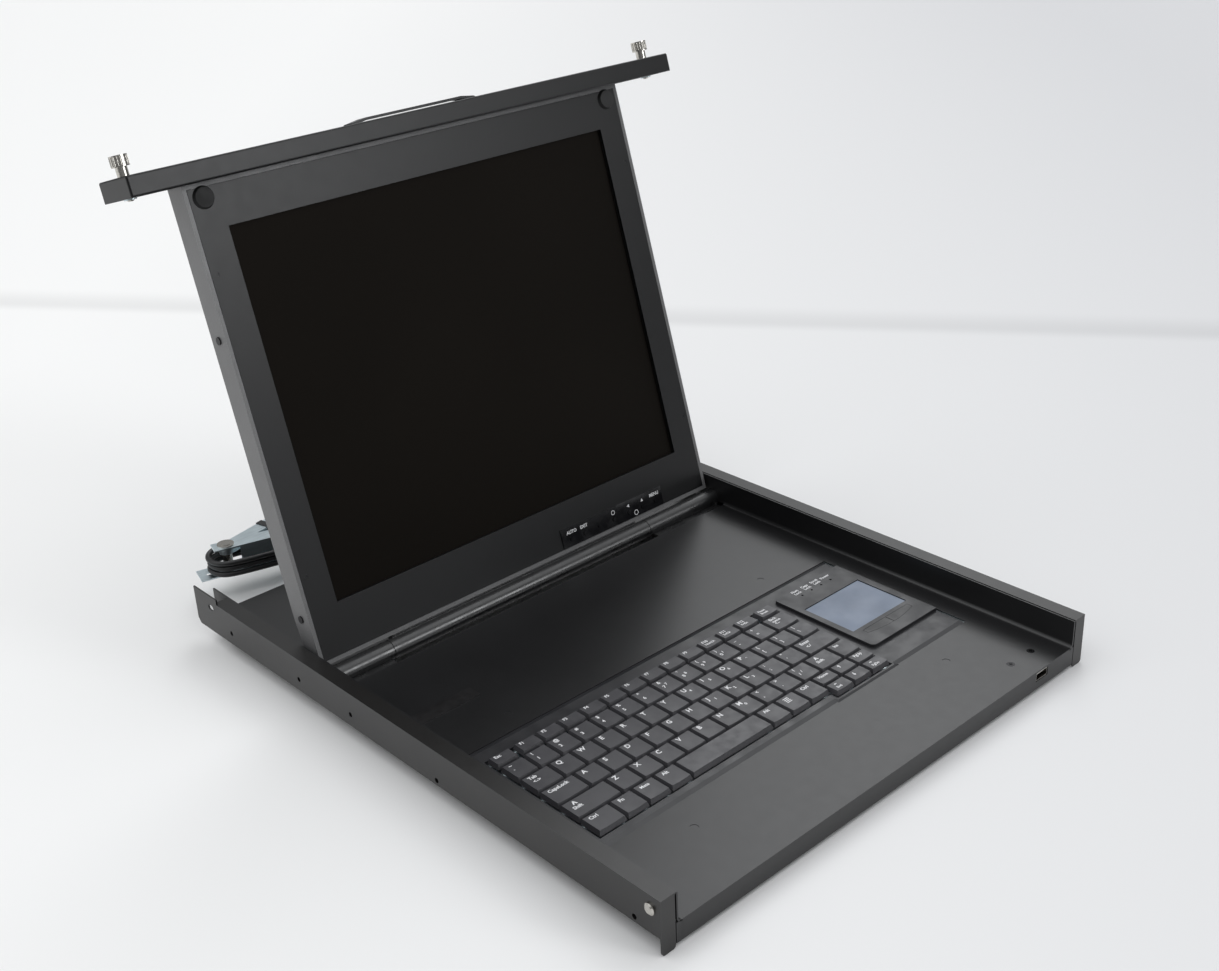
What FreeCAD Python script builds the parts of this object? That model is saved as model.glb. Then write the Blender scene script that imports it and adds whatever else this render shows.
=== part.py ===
import FreeCAD, Part
import math
import os
from FreeCAD import Vector

# Rack console drawer, 1U high, shown pulled out with its display raised.
# All sizes are millimetres. X is the width, Y runs from the front edge of the
# tray to the rear, Z is up. Everything below is measured from the plane of the
# front ears (Y = 0) and from the surface the drawer stands on (Z = 0). The
# exported frame has its origin in the middle of the bottom cover's flat face.

# --- rack standard -----------------------------------------------------------
PANEL_WIDTH = 482.6
PANEL_HEIGHT = 43.6
RACK_HOLE_SPACING = 465.1

# --- tray and side rails -----------------------------------------------------
SHEET = 1.2
TRAY_LENGTH = 501.0
TRAY_FLOOR_Z = 17.6
TRAY_LIP_BOTTOM_Z = 2.7
TRAY_LIP_RETURN = 11.0
TRAY_WALL_INSIDE = 199.0
TRAY_WALL_TOP_Z = 39.0
TRAY_BEND_RADIUS = 3.0
RAIL_OUTSIDE = 212.4
RAIL_TOP_Z = 39.5
RAIL_BOTTOM_Z = 12.2
RAIL_FLANGE_END_Y = 479.0
RAIL_TAB_END_Y = 508.0
RAIL_TAB_TOP_Z = 43.6
RAIL_TO_WALL_GAP = 0.25
RAIL_HOLE_RADIUS = 1.9
RAIL_HOLES = ((22.0, 16.0), (206.0, 16.0), (302.0, 22.0), (366.0, 22.0), (457.5, 22.0))
RAIL_SLOT_Y = 484.5
RAIL_SLOT_Z = 33.5
RAIL_SLOT_LENGTH = 7.0
RAIL_SLOT_WIDTH = 4.6
RAIL_SCREW_Y = 8.5
RAIL_SCREW_Z = 30.0
M4_RADIUS = 2.0
M4_HOLE_RADIUS = 2.25
FLOOR_SCREW_RADIUS = 1.5
FLOOR_SCREW_HEAD_RADIUS = 2.9
FLOOR_SCREWS = ((151.3, 18.8), (175.5, 18.8))
SPOT_MARK_RADIUS = 3.0
SPOT_MARK_DEPTH = 0.25
SPOT_MARKS = ((-133.0, 52.0), (124.0, 54.0), (-133.0, 229.0), (122.0, 228.0))

# --- display -----------------------------------------------------------------
HINGE_Y = 354.0
HINGE_Z = 19.6
DISPLAY_TILT = 16.0
FACE_BEHIND_AXIS = 2.3
DISPLAY_WIDTH = 393.6
DISPLAY_THICKNESS = 20.3
CHIN_THICKNESS = 16.8
CHIN_TOP = 43.0
CHIN_BOTTOM = 9.0
DISPLAY_TOP = 369.4
HOUSING_WALL = 3.0
HOUSING_BACK = 1.5
BEZEL_THICKNESS = 1.4
BEZEL_SEAM = 0.3
SCREEN_WIDTH = 342.0
SCREEN_HEIGHT = 273.6
SCREEN_BOTTOM = 49.5
SCREEN_RECESS = 3.0
PANEL_MODULE_MARGIN = 6.5
PANEL_MODULE_THICKNESS = 10.5
BAR_DEPTH = 14.3
BAR_FRONT_PROUD = 20.5
BAR_SHEET = 1.5
BUMPER_X = 183.0
BUMPER_UP = 345.0
BUMPER_RADIUS = 8.0
BUMPER_HEIGHT = 2.5
OSD_LEFT = 34.5
OSD_RIGHT = 146.0
OSD_BOTTOM = 13.0
OSD_TOP = 28.5
OSD_PLATE = 0.8
OSD_BUTTONS_X = (44.6, 58.8, 91.0, 107.8, 123.3, 138.0)
OSD_BUTTONS_UP = 18.2
OSD_BUTTON_RADIUS = 1.9
OSD_BUTTON_TRAVEL = 0.6
OSD_BUTTON_PROUD = 0.7
POWER_HOLE_X = 115.0
POWER_HOLE_UP = 15.8
LED_X = 73.2
HANDLE_WIDTH = 114.0
HANDLE_DEPTH = 12.0
HANDLE_STAND_OFF = 1.2
HANDLE_THICKNESS = 1.8
HANDLE_RAMP = 14.0
HANDLE_MIDDLE_V = 5.0

# --- hinge -------------------------------------------------------------------
BARREL_RADIUS = 7.6
BARREL_SEAM = 0.5
BARREL_LEFT_SEAM_X = -141.8
BARREL_RIGHT_SEAM_X = 118.3
PIN_RADIUS = 3.0
PIN_CLEARANCE = 0.05
PIN_ENGAGE = 24.0
LEAF_THICKNESS = 2.8
LEAF_HEIGHT = 26.0
SADDLE_THICKNESS = 3.0
SADDLE_REACH = 18.0
BARREL_SLOT_FRONT = 15.0
BARREL_SLOT_REAR = 10.0

# --- thumbscrews -------------------------------------------------------------
THUMB_HEAD_RADIUS = 6.2
THUMB_HEAD_HEIGHT = 7.5
THUMB_COLLAR_RADIUS = 4.0
THUMB_LIFT = 6.5
THUMB_THREAD_RADIUS = 2.5
THUMB_TIP_BELOW = 1.8
THUMB_SLEEVE_RADIUS = 5.4
THUMB_SLEEVE_PROUD = 0.6
THUMB_RUN_CLEARANCE = 0.08
CLIP_THICKNESS = 0.8
CLIP_RADIUS = 4.3

# --- keyboard ----------------------------------------------------------------
KEY_PITCH = 19.2
KEY_GAP = 1.1
KEYS_LEFT_X = -179.8
KEYS_FRONT_Y = 85.7
KEY_TOP_Z = 21.3
KEY_HEIGHT = 3.6
KEY_TRAVEL = 2.2
KEY_TAPER_SIDE = 1.1
KEY_TAPER_FRONT = 1.4
KEY_TAPER_REAR = 0.8
KEY_DISH = 0.35
HALF_ROW = 12.7
LOWER_ROW_DROP = 6.2
STEM_SIDE = 5.0
STEM_CLEARANCE = 0.2
STEM_BELOW_PLATE = 1.6
FRAME_LEFT_X = -182.8
FRAME_RIGHT_X = 176.3
FRAME_FRONT_Y = 76.4
FRAME_REAR_Y = 211.4
FRAME_TOP_Z = 18.2
FRAME_THICKNESS = 3.2
FRAME_BEVEL_HEIGHT = 1.0
FRAME_BEVEL_FRONT = 3.4
FRAME_BEVEL_REAR = 4.0
FRAME_BEVEL_SIDE = 1.0
FRAME_BUMP = 1.0
FRAME_BUMP_BEVEL = 1.6
FRAME_BUMP_X = (32.0, 97.4)
ROW_GAP = 1.0
WELL_MARGIN = 0.9
PLATE_THICKNESS = 1.4
OPENING_GAP_LEFT = 0.9
OPENING_GAP_RIGHT = 2.2
OPENING_GAP_FRONT = 0.3
PAD_BLOCK_LEFT = 101.4
PAD_BLOCK_FRONT = 100.6
PAD_BLOCK_REAR = 196.4
PAD_BLOCK_RISE = 2.5
PAD_BLOCK_CORNER = 4.0
PAD_LEFT = 106.6
PAD_RIGHT = 168.9
PAD_FRONT = 123.6
PAD_REAR = 170.2
PAD_RECESS = 0.7
PAD_BUTTON_LEFT = 112.8
PAD_BUTTON_RIGHT = 165.0
PAD_BUTTON_REAR = 119.8
PAD_BUTTON_SIDE_FRONT = 115.0
PAD_BUTTON_MIDDLE_FRONT = 111.3
PAD_BUTTON_GAP = 0.5
PAD_BUTTON_TRAVEL = 1.0
LED_HOLES_X = (121.7, 132.8, 143.8, 154.8)
LED_HOLES_Y = 185.3
LED_HOLE_RADIUS = 1.0

# --- bottom cover, board, sockets -------------------------------------------
COVER_FRONT_Y = 26.0
COVER_REAR_Y = 328.0
COVER_HALF_WIDTH = 189.0
COVER_SHEET = 1.0
COVER_FLANGE = 6.0
BOARD_SIZE = (150.0, 72.0)
BOARD_THICKNESS = 1.6
BOARD_POST = 4.0
BOARD_MIDDLE = (-60.0, 268.0)
USB_MIDDLE_X = 162.0
USB_MIDDLE_Z = 12.7
USB_WIDTH = 13.2
USB_HEIGHT = 6.0
USB_DEPTH = 14.0
NAMEPLATE = (52.0, 13.0, 0.5)
NAMEPLATE_MIDDLE = (-157.0, 268.0)

# --- cable arm ---------------------------------------------------------------
ARM_SHEET = 1.2
ARM_PIVOT_X = -4.0
ARM_PIVOT_Y = 510.0
ARM_LENGTH = 159.8
ARM_ANGLE = 164.5
ARM_TOP_Z = 42.0
ARM_BOTTOM_Z = 20.0
ARM_STRIP_WIDTH = 14.0
ARM_PLATE_WIDTH = 19.0
ARM_PLATE_OVERRUN = 25.0
ARM_WEB_START = 78.0
ARM_WEB_END = 150.0
ARM_OUTER_ANGLE = 14.0
ARM_OUTER_LENGTH = 150.0
ARM_RIVET_RADIUS = 4.0
ARM_BOSS_RADIUS = 6.6
ARM_OUTER_HEIGHT = 5.2
ARM_OUTER_TOP_Z = 40.4
ARM_OUTER_WIDTH = 12.0
BRACKET_WIDTH = 70.0
CABLE_RADIUS = 2.2
CABLE_TURN_RADIUS = 18.0
CABLE_TURNS = 3
CABLE_TURN_PITCH = 4.9
HANK_NEAR = 70.0
HANK_FAR = 157.0
CABLE_EXIT_Z = 8.5
GROMMET_RADIUS = 4.6
LEAD_CLEARANCE = 0.35
TAIL_LENGTH = 36.0

# --- values that follow ------------------------------------------------------
TRAY_FLOOR_UNDER_Z = TRAY_FLOOR_Z - SHEET
TRAY_WALL_OUTSIDE = TRAY_WALL_INSIDE + SHEET
ORIGIN_Y = (COVER_FRONT_Y + COVER_REAR_Y) / 2
FRAME_BOTTOM_Z = FRAME_TOP_Z - FRAME_THICKNESS
KEY_BOTTOM_Z = KEY_TOP_Z - KEY_HEIGHT
KEYS_RIGHT_X = KEYS_LEFT_X + 14.25 * KEY_PITCH
FACE_Y = FACE_BEHIND_AXIS
BACK_Y = FACE_Y + DISPLAY_THICKNESS
BAR_UP = DISPLAY_TOP - BAR_DEPTH
BEZEL_TOP = BAR_UP - HOUSING_WALL - BEZEL_SEAM
PLATE_TOP_Z = FRAME_BOTTOM_Z
PLATE_BOTTOM_Z = PLATE_TOP_Z - PLATE_THICKNESS
HANK_BOTTOM_Z = ARM_BOTTOM_Z
HANK_HEIGHT = (CABLE_TURNS - 1) * CABLE_TURN_PITCH + 2 * CABLE_RADIUS
X_AXIS = Vector(1, 0, 0)
Y_AXIS = Vector(0, 1, 0)
Z_AXIS = Vector(0, 0, 1)


# --- small helpers -----------------------------------------------------------
def box(x0, x1, y0, y1, z0, z1):
    """A block between two corners."""
    return Part.makeBox(x1 - x0, y1 - y0, z1 - z0, Vector(x0, y0, z0))


def rod(radius, start, along, length):
    """A round bar from start, running along a direction."""
    return Part.makeCylinder(radius, length, Vector(*start), along)


def plate(points, z0, z1):
    """A flat plate with a straight-sided outline in X and Y."""
    outline = Part.makePolygon([Vector(x, y, z0) for x, y in points + points[:1]])
    return Part.Face(outline).extrude(Vector(0, 0, z1 - z0))


def side_profile(points, x0, x1):
    """A bar along X with a straight-sided outline in Y and Z."""
    outline = Part.makePolygon([Vector(x0, y, z) for y, z in points + points[:1]])
    return Part.Face(outline).extrude(Vector(x1 - x0, 0, 0))


def fused(pieces):
    """Several overlapping shapes made into one solid."""
    first = pieces[0]
    return first.fuse(pieces[1:]).removeSplitter()


def grouped(pieces):
    """Several loose solids kept in one node."""
    return Part.makeCompound([solid for piece in pieces for solid in piece.Solids])


def mirrored(shape):
    """The same piece on the other side of the drawer."""
    return shape.mirror(Vector(0, 0, 0), X_AXIS)


def vertical_edges(shape, keep):
    """Edges along Z whose X and Y pass the test."""
    found = []
    for edge in shape.Edges:
        start = edge.Vertexes[0].Point
        end = edge.Vertexes[-1].Point
        upright = abs(start.x - end.x) < 1e-6 and abs(start.y - end.y) < 1e-6
        if upright and abs(start.z - end.z) > 1e-6 and keep(start.x, start.y):
            found.append(edge)
    return found


def raised(shape):
    """Take a piece from the display's own frame to its raised place.

    In the display's frame the hinge axis is the X axis, Z runs up the display
    and Y runs backwards, so the face lies FACE_BEHIND_AXIS behind the axis."""
    placed = shape.copy()
    placed.rotate(Vector(0, 0, 0), X_AXIS, -DISPLAY_TILT)
    placed.translate(Vector(0, HINGE_Y, HINGE_Z))
    return placed


def export(name, shape):
    """Move a piece into the drawer's frame and write its file."""
    placed = shape.copy()
    placed.translate(Vector(0, -ORIGIN_Y, 0))
    placed.exportStep("parts/" + name + ".step")
    print(name, "solids", len(placed.Solids), "volume", round(placed.Volume, 1), placed.isValid())


# --- tray --------------------------------------------------------------------
def tray_section(inset):
    """Outline of the tray's channel in X and Z, or its inside when inset is 0."""
    half = TRAY_WALL_INSIDE + inset
    low = TRAY_FLOOR_Z - inset
    bend = TRAY_BEND_RADIUS + inset
    middle = bend * (1 - math.cos(math.pi / 4))
    right = Part.Arc(Vector(half - bend, 0, low), Vector(half - middle, 0, low + middle),
                     Vector(half, 0, low + bend))
    left = Part.Arc(Vector(-half, 0, low + bend), Vector(-half + middle, 0, low + middle),
                    Vector(-half + bend, 0, low))
    top = TRAY_WALL_TOP_Z
    corners = [Vector(half, 0, low + bend), Vector(half, 0, top),
               Vector(-half, 0, top), Vector(-half, 0, low + bend)]
    edges = [Part.makeLine(corners[i], corners[i + 1]) for i in range(3)]
    floor = Part.makeLine(Vector(-half + bend, 0, low), Vector(half - bend, 0, low))
    return Part.Face(Part.Wire([right.toShape()] + edges + [left.toShape(), floor]))


def keyboard_opening():
    """The hole in the tray floor that the keyboard drops into."""
    gap = OPENING_GAP_FRONT
    top = TRAY_FLOOR_Z + 1
    main = box(FRAME_LEFT_X - OPENING_GAP_LEFT, FRAME_RIGHT_X + OPENING_GAP_RIGHT,
               FRAME_FRONT_Y - gap, FRAME_REAR_Y + gap, 0, top)
    notch = box(FRAME_BUMP_X[0] - gap, FRAME_BUMP_X[1] + gap, FRAME_FRONT_Y - FRAME_BUMP - gap,
                FRAME_FRONT_Y, 0, top)
    return fused([main, notch])


def hinge_slot():
    """The long slot in the tray floor that the hinge barrels lie in."""
    return box(-TRAY_WALL_INSIDE, TRAY_WALL_INSIDE, HINGE_Y - BARREL_SLOT_FRONT,
               HINGE_Y + BARREL_SLOT_REAR, 0, TRAY_FLOOR_Z + TRAY_BEND_RADIUS + 0.5)


def tray_pan():
    """Folded channel: floor, side walls, front lip and rear flange."""
    length = Vector(0, TRAY_LENGTH, 0)
    channel = tray_section(SHEET).extrude(length).cut(tray_section(0).extrude(length))
    front_half = TRAY_WALL_INSIDE - TRAY_BEND_RADIUS
    lip = box(-front_half, front_half, 0, SHEET, TRAY_LIP_BOTTOM_Z, TRAY_FLOOR_Z)
    lip_return = box(-front_half, front_half, 0, TRAY_LIP_RETURN,
                     TRAY_LIP_BOTTOM_Z, TRAY_LIP_BOTTOM_Z + SHEET)
    rear = box(-front_half, front_half, TRAY_LENGTH - SHEET, TRAY_LENGTH, 0, TRAY_FLOOR_Z)
    pan = fused([channel, lip, lip_return, rear])
    pan = pan.cut([keyboard_opening(), hinge_slot(), usb_window()] + floor_screw_holes())
    marks = [rod(SPOT_MARK_RADIUS, (x, y, TRAY_FLOOR_Z - SPOT_MARK_DEPTH), Z_AXIS, 1.0)
             for x, y in SPOT_MARKS]
    return pan.cut(marks + [cable_exit()])


def usb_window():
    """Window in the front lip for the socket."""
    half_w = USB_WIDTH / 2 + 0.4
    half_h = USB_HEIGHT / 2 + 0.4
    return box(USB_MIDDLE_X - half_w, USB_MIDDLE_X + half_w, -1, SHEET + 1,
               USB_MIDDLE_Z - half_h, USB_MIDDLE_Z + half_h)


def cable_exit():
    """Round hole in the rear flange for the cable's grommet."""
    return rod(GROMMET_RADIUS, (ARM_PIVOT_X, TRAY_LENGTH - 2 * SHEET, CABLE_EXIT_Z),
               Y_AXIS, 4 * SHEET)


def floor_screw_holes():
    """Countersunk holes at the right front of the floor."""
    holes = []
    for x, y in FLOOR_SCREWS:
        holes.append(rod(FLOOR_SCREW_RADIUS + 0.1, (x, y, TRAY_FLOOR_UNDER_Z - 1), Z_AXIS, 4))
        cone = Part.makeCone(FLOOR_SCREW_RADIUS + 0.1, FLOOR_SCREW_HEAD_RADIUS + 0.1, SHEET,
                             Vector(x, y, TRAY_FLOOR_UNDER_Z))
        holes.append(cone)
    return holes


def side_rail_right():
    """Folded rail outside the tray wall, with its front ear and rear tab."""
    x0 = TRAY_WALL_OUTSIDE + RAIL_TO_WALL_GAP
    web = box(RAIL_OUTSIDE - SHEET, RAIL_OUTSIDE, 0, RAIL_FLANGE_END_Y, RAIL_BOTTOM_Z, RAIL_TOP_Z)
    top = box(x0, RAIL_OUTSIDE, 0, RAIL_FLANGE_END_Y, RAIL_TOP_Z - SHEET, RAIL_TOP_Z)
    bottom = box(TRAY_WALL_OUTSIDE, RAIL_OUTSIDE, SHEET, RAIL_FLANGE_END_Y,
                 RAIL_BOTTOM_Z, RAIL_BOTTOM_Z + SHEET)
    bottom = bottom.cut(box(0, TRAY_WALL_OUTSIDE, -1, TRAY_LENGTH + 1, 0, RAIL_TOP_Z))
    ear = box(TRAY_WALL_OUTSIDE + 1.2, RAIL_OUTSIDE, 0, SHEET, 0, RAIL_TOP_Z)
    ear = ear.makeFillet(2.5, ear_lower_edges(ear))
    tab = box(RAIL_OUTSIDE - SHEET, RAIL_OUTSIDE, RAIL_FLANGE_END_Y - 4, RAIL_TAB_END_Y,
              RAIL_BOTTOM_Z, RAIL_TAB_TOP_Z)
    corner = side_profile([(RAIL_TAB_END_Y - 3, RAIL_BOTTOM_Z - 0.01),
                           (RAIL_TAB_END_Y + 0.01, RAIL_BOTTOM_Z - 0.01),
                           (RAIL_TAB_END_Y + 0.01, RAIL_BOTTOM_Z + 4)],
                          RAIL_OUTSIDE - 2 * SHEET, RAIL_OUTSIDE + 1)
    rail = fused([web, top, bottom, ear, tab.cut(corner)])
    inner_corner = plate([(x0 - 1, RAIL_FLANGE_END_Y - 3), (x0 + 3, RAIL_FLANGE_END_Y + 1),
                          (x0 - 1, RAIL_FLANGE_END_Y + 1)], RAIL_TOP_Z - 2 * SHEET, RAIL_TOP_Z + 1)
    return rail.cut(rail_holes() + [inner_corner])


def ear_lower_edges(ear):
    """The ear's two lower corners."""
    return [edge for edge in ear.Edges
            if all(vertex.Z < 1e-6 for vertex in edge.Vertexes)
            and abs(edge.Vertexes[0].X - edge.Vertexes[1].X) < 1e-6]


def rail_holes():
    """Fixing holes through the rail's web, its slot and its screw hole."""
    x = RAIL_OUTSIDE - 2 * SHEET
    through = 3 * SHEET
    holes = [rod(RAIL_HOLE_RADIUS, (x, y, z), X_AXIS, through) for y, z in RAIL_HOLES]
    holes.append(rod(M4_HOLE_RADIUS, (x, RAIL_SCREW_Y, RAIL_SCREW_Z), X_AXIS, through))
    half = (RAIL_SLOT_LENGTH - RAIL_SLOT_WIDTH) / 2
    radius = RAIL_SLOT_WIDTH / 2
    holes.append(box(x, x + through, RAIL_SLOT_Y - half, RAIL_SLOT_Y + half,
                     RAIL_SLOT_Z - radius, RAIL_SLOT_Z + radius))
    holes.append(rod(radius, (x, RAIL_SLOT_Y - half, RAIL_SLOT_Z), X_AXIS, through))
    holes.append(rod(radius, (x, RAIL_SLOT_Y + half, RAIL_SLOT_Z), X_AXIS, through))
    return holes


def rail_screws():
    """Pan-head screw, spacer and nut end that tie each rail's front to the tray wall."""
    screws = []
    for side in (-1, 1):
        shank = rod(M4_RADIUS, (side * (TRAY_WALL_OUTSIDE), RAIL_SCREW_Y, RAIL_SCREW_Z),
                    Vector(side, 0, 0), RAIL_OUTSIDE - TRAY_WALL_OUTSIDE + 0.5)
        spacer = rod(3.6, (side * TRAY_WALL_OUTSIDE, RAIL_SCREW_Y, RAIL_SCREW_Z),
                     Vector(side, 0, 0), RAIL_OUTSIDE - SHEET - TRAY_WALL_OUTSIDE)
        head = rod(4.0, (side * RAIL_OUTSIDE, RAIL_SCREW_Y, RAIL_SCREW_Z), Vector(side, 0, 0), 1.9)
        dome = Part.makeSphere(6.2, Vector(side * (RAIL_OUTSIDE + 1.9 - 6.2 + 0.6),
                                           RAIL_SCREW_Y, RAIL_SCREW_Z))
        screws.append(fused([shank, spacer, head.common(dome)]))
    return grouped(screws)


def floor_screws():
    """Two countersunk screws at the right front of the tray floor."""
    screws = []
    for x, y in FLOOR_SCREWS:
        shank = rod(FLOOR_SCREW_RADIUS, (x, y, TRAY_FLOOR_UNDER_Z - 3.0), Z_AXIS, 3.0 + SHEET / 2)
        head = Part.makeCone(FLOOR_SCREW_RADIUS, FLOOR_SCREW_HEAD_RADIUS, SHEET,
                             Vector(x, y, TRAY_FLOOR_UNDER_Z))
        recess = fused([box(x - 1.5, x + 1.5, y - 0.3, y + 0.3, TRAY_FLOOR_Z - 0.7, TRAY_FLOOR_Z + 1),
                        box(x - 0.3, x + 0.3, y - 1.5, y + 1.5, TRAY_FLOOR_Z - 0.7, TRAY_FLOOR_Z + 1)])
        screws.append(fused([shank, head]).cut(recess))
    return grouped(screws)


def bottom_cover():
    """Shallow pan screwed under the tray; the drawer stands on its flat face."""
    half = COVER_HALF_WIDTH
    outer = box(-half, half, COVER_FRONT_Y, COVER_REAR_Y, 0, TRAY_FLOOR_UNDER_Z)
    inner = box(-half + COVER_SHEET, half - COVER_SHEET, COVER_FRONT_Y + COVER_SHEET,
                COVER_REAR_Y - COVER_SHEET, COVER_SHEET, TRAY_FLOOR_UNDER_Z + 1)
    vents = []
    for column in range(12):
        x = -110.0 + 20.0 * column
        vents.append(box(x - 1.5, x + 1.5, 228.0, 252.0, -1, COVER_SHEET + 1))
    return outer.cut([inner] + vents)


def controller_board():
    """Control board of the drawer on four posts, with its three main parts."""
    width, depth = BOARD_SIZE
    x, y = BOARD_MIDDLE
    z = COVER_SHEET + BOARD_POST
    board = box(x - width / 2, x + width / 2, y - depth / 2, y + depth / 2, z, z + BOARD_THICKNESS)
    pieces = [board]
    for side in (-1, 1):
        for end in (-1, 1):
            corner = (x + side * (width / 2 - 5), y + end * (depth / 2 - 5), COVER_SHEET)
            pieces.append(rod(3.0, corner, Z_AXIS, BOARD_POST + BOARD_THICKNESS))
    top = z + BOARD_THICKNESS
    pieces.append(box(x - 50, x - 24, y - 13, y + 13, top, top + 2.5))
    pieces.append(box(x + 5, x + 25, y - 9, y + 9, top, top + 2.0))
    pieces.append(box(x + 45, x + 70, y - 28, y - 12, top, top + 6.0))
    return fused(pieces)


def usb_socket():
    """Socket behind the front lip: thin metal shell, tongue and fixing block."""
    half_w = USB_WIDTH / 2
    half_h = USB_HEIGHT / 2
    x, z = USB_MIDDLE_X, USB_MIDDLE_Z
    shell = box(x - half_w, x + half_w, 0.4, USB_DEPTH + 4, z - half_h, z + half_h)
    hollow = box(x - half_w + 0.4, x + half_w - 0.4, 0, USB_DEPTH, z - half_h + 0.4, z + half_h - 0.4)
    tongue = box(x - half_w + 1.2, x + half_w - 1.2, 2.0, USB_DEPTH + 1, z + 0.2, z + 1.6)
    block = box(x - 16.5, x + 16.5, USB_DEPTH + 0.5, USB_DEPTH + 8.5, z - half_h, TRAY_FLOOR_UNDER_Z)
    bores = [rod(FLOOR_SCREW_RADIUS + 0.02, (sx, sy, 0), Z_AXIS, TRAY_FLOOR_Z)
             for sx, sy in FLOOR_SCREWS]
    return fused([shell.cut(hollow), tongue, block.cut(bores)])


def blank_nameplate():
    """Bare plate stuck to the tray floor behind the keyboard."""
    length, depth, thick = NAMEPLATE
    x, y = NAMEPLATE_MIDDLE
    plate_shape = box(x - length / 2, x + length / 2, y - depth / 2, y + depth / 2,
                      TRAY_FLOOR_Z, TRAY_FLOOR_Z + thick)
    return plate_shape.makeFillet(1.5, vertical_edges(plate_shape, lambda px, py: True))


# --- keyboard ----------------------------------------------------------------
def frame_outline(bevel_front, bevel_rear, bevel_side, bevel_bump, z):
    """Outline of the key frame, drawn in by the bevels, with the cursor keys' bump."""
    x0 = FRAME_LEFT_X + bevel_side
    x1 = FRAME_RIGHT_X - bevel_side
    y0 = FRAME_FRONT_Y + bevel_front
    y1 = FRAME_REAR_Y - bevel_rear
    bump_y = FRAME_FRONT_Y - FRAME_BUMP + bevel_bump
    b0 = FRAME_BUMP_X[0] + bevel_side
    b1 = FRAME_BUMP_X[1] - bevel_side
    points = [(x0, y0), (b0, y0), (b0 + 1, bump_y), (b1 - 1, bump_y), (b1, y0), (x1, y0), (x1, y1), (x0, y1)]
    return Part.makePolygon([Vector(x, y, z) for x, y in points + points[:1]])


def keyboard_frame():
    """Bevelled surround with the key well and the raised touchpad block."""
    low = frame_outline(0, 0, 0, 0, FRAME_BOTTOM_Z)
    shoulder = frame_outline(0, 0, 0, 0, FRAME_TOP_Z - FRAME_BEVEL_HEIGHT)
    top = frame_outline(FRAME_BEVEL_FRONT, FRAME_BEVEL_REAR, FRAME_BEVEL_SIDE,
                        FRAME_BUMP_BEVEL, FRAME_TOP_Z)
    skirt = Part.makeLoft([low, shoulder], True, True)
    bevel = Part.makeLoft([shoulder, top], True, True)
    block_top = FRAME_TOP_Z + PAD_BLOCK_RISE
    block = box(PAD_BLOCK_LEFT, FRAME_RIGHT_X - FRAME_BEVEL_SIDE, PAD_BLOCK_FRONT, PAD_BLOCK_REAR,
                FRAME_BOTTOM_Z, block_top)
    corners = vertical_edges(block, lambda x, y: x < PAD_BLOCK_LEFT + 1)
    block = block.makeFillet(PAD_BLOCK_CORNER, corners)
    frame = fused([skirt, bevel, block])
    return frame.cut(key_wells() + touchpad_cuts(block_top))


def key_wells():
    """The main key well and the lower one under the cursor keys."""
    rear = KEYS_FRONT_Y + 5 * KEY_PITCH + ROW_GAP + HALF_ROW + WELL_MARGIN
    right = KEYS_RIGHT_X + WELL_MARGIN
    main = box(KEYS_LEFT_X - WELL_MARGIN, right, KEYS_FRONT_Y - WELL_MARGIN, rear,
               FRAME_BOTTOM_Z - 1, FRAME_TOP_Z + 1)
    lower = box(KEYS_RIGHT_X - 3 * KEY_PITCH - WELL_MARGIN, right,
                KEYS_FRONT_Y - LOWER_ROW_DROP - WELL_MARGIN, KEYS_FRONT_Y,
                FRAME_BOTTOM_Z - 1, FRAME_TOP_Z + 1)
    return [main, lower]


def touchpad_cuts(block_top):
    """Recess for the pad, hole for its buttons and the four lamp holes."""
    pad = box(PAD_LEFT, PAD_RIGHT, PAD_FRONT, PAD_REAR, block_top - PAD_RECESS - 1.4, block_top + 1)
    buttons = plate(button_outline(PAD_BUTTON_LEFT, PAD_BUTTON_RIGHT, 0.0),
                    FRAME_BOTTOM_Z - 1, block_top + 1)
    holes = [rod(LED_HOLE_RADIUS, (x, LED_HOLES_Y, block_top - 1.5), Z_AXIS, 3)
             for x in LED_HOLES_X]
    return [pad, buttons] + holes


def button_outline(x0, x1, inset):
    """Plan outline of the button pair: straight rear, bowed front."""
    middle = (PAD_BUTTON_LEFT + PAD_BUTTON_RIGHT) / 2
    half = (PAD_BUTTON_RIGHT - PAD_BUTTON_LEFT) / 2
    drop = PAD_BUTTON_SIDE_FRONT - PAD_BUTTON_MIDDLE_FRONT
    front = []
    for step in range(9):
        x = x0 + inset + (x1 - x0 - 2 * inset) * step / 8
        bow = 1 - ((x - middle) / half) ** 2
        front.append((x, PAD_BUTTON_SIDE_FRONT - drop * bow + inset))
    rear = PAD_BUTTON_REAR - inset
    return front + [(x1 - inset, rear), (x0 + inset, rear)]


def touchpad_button(x0, x1):
    """One touchpad button with its stem through the guide plate."""
    top = FRAME_TOP_Z + PAD_BLOCK_RISE
    cap = plate(button_outline(x0, x1, PAD_BUTTON_GAP / 2), top - 3.0, top)
    x, y = pad_button_stem(x0, x1)
    half = STEM_SIDE / 2
    stem = box(x - half, x + half, y - half, y + half, PLATE_BOTTOM_Z - STEM_BELOW_PLATE, top - 2.5)
    return fused([cap, stem])


def pad_button_stem(x0, x1):
    """Middle of a touchpad button's stem."""
    return ((x0 + x1) / 2, PAD_BUTTON_REAR - 0.6 - STEM_SIDE / 2)


def touchpad_surface():
    """The touch sensor plate in its recess."""
    top = FRAME_TOP_Z + PAD_BLOCK_RISE - PAD_RECESS
    return box(PAD_LEFT + 0.2, PAD_RIGHT - 0.2, PAD_FRONT + 0.2, PAD_REAR - 0.2, top - 1.4, top)


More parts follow.
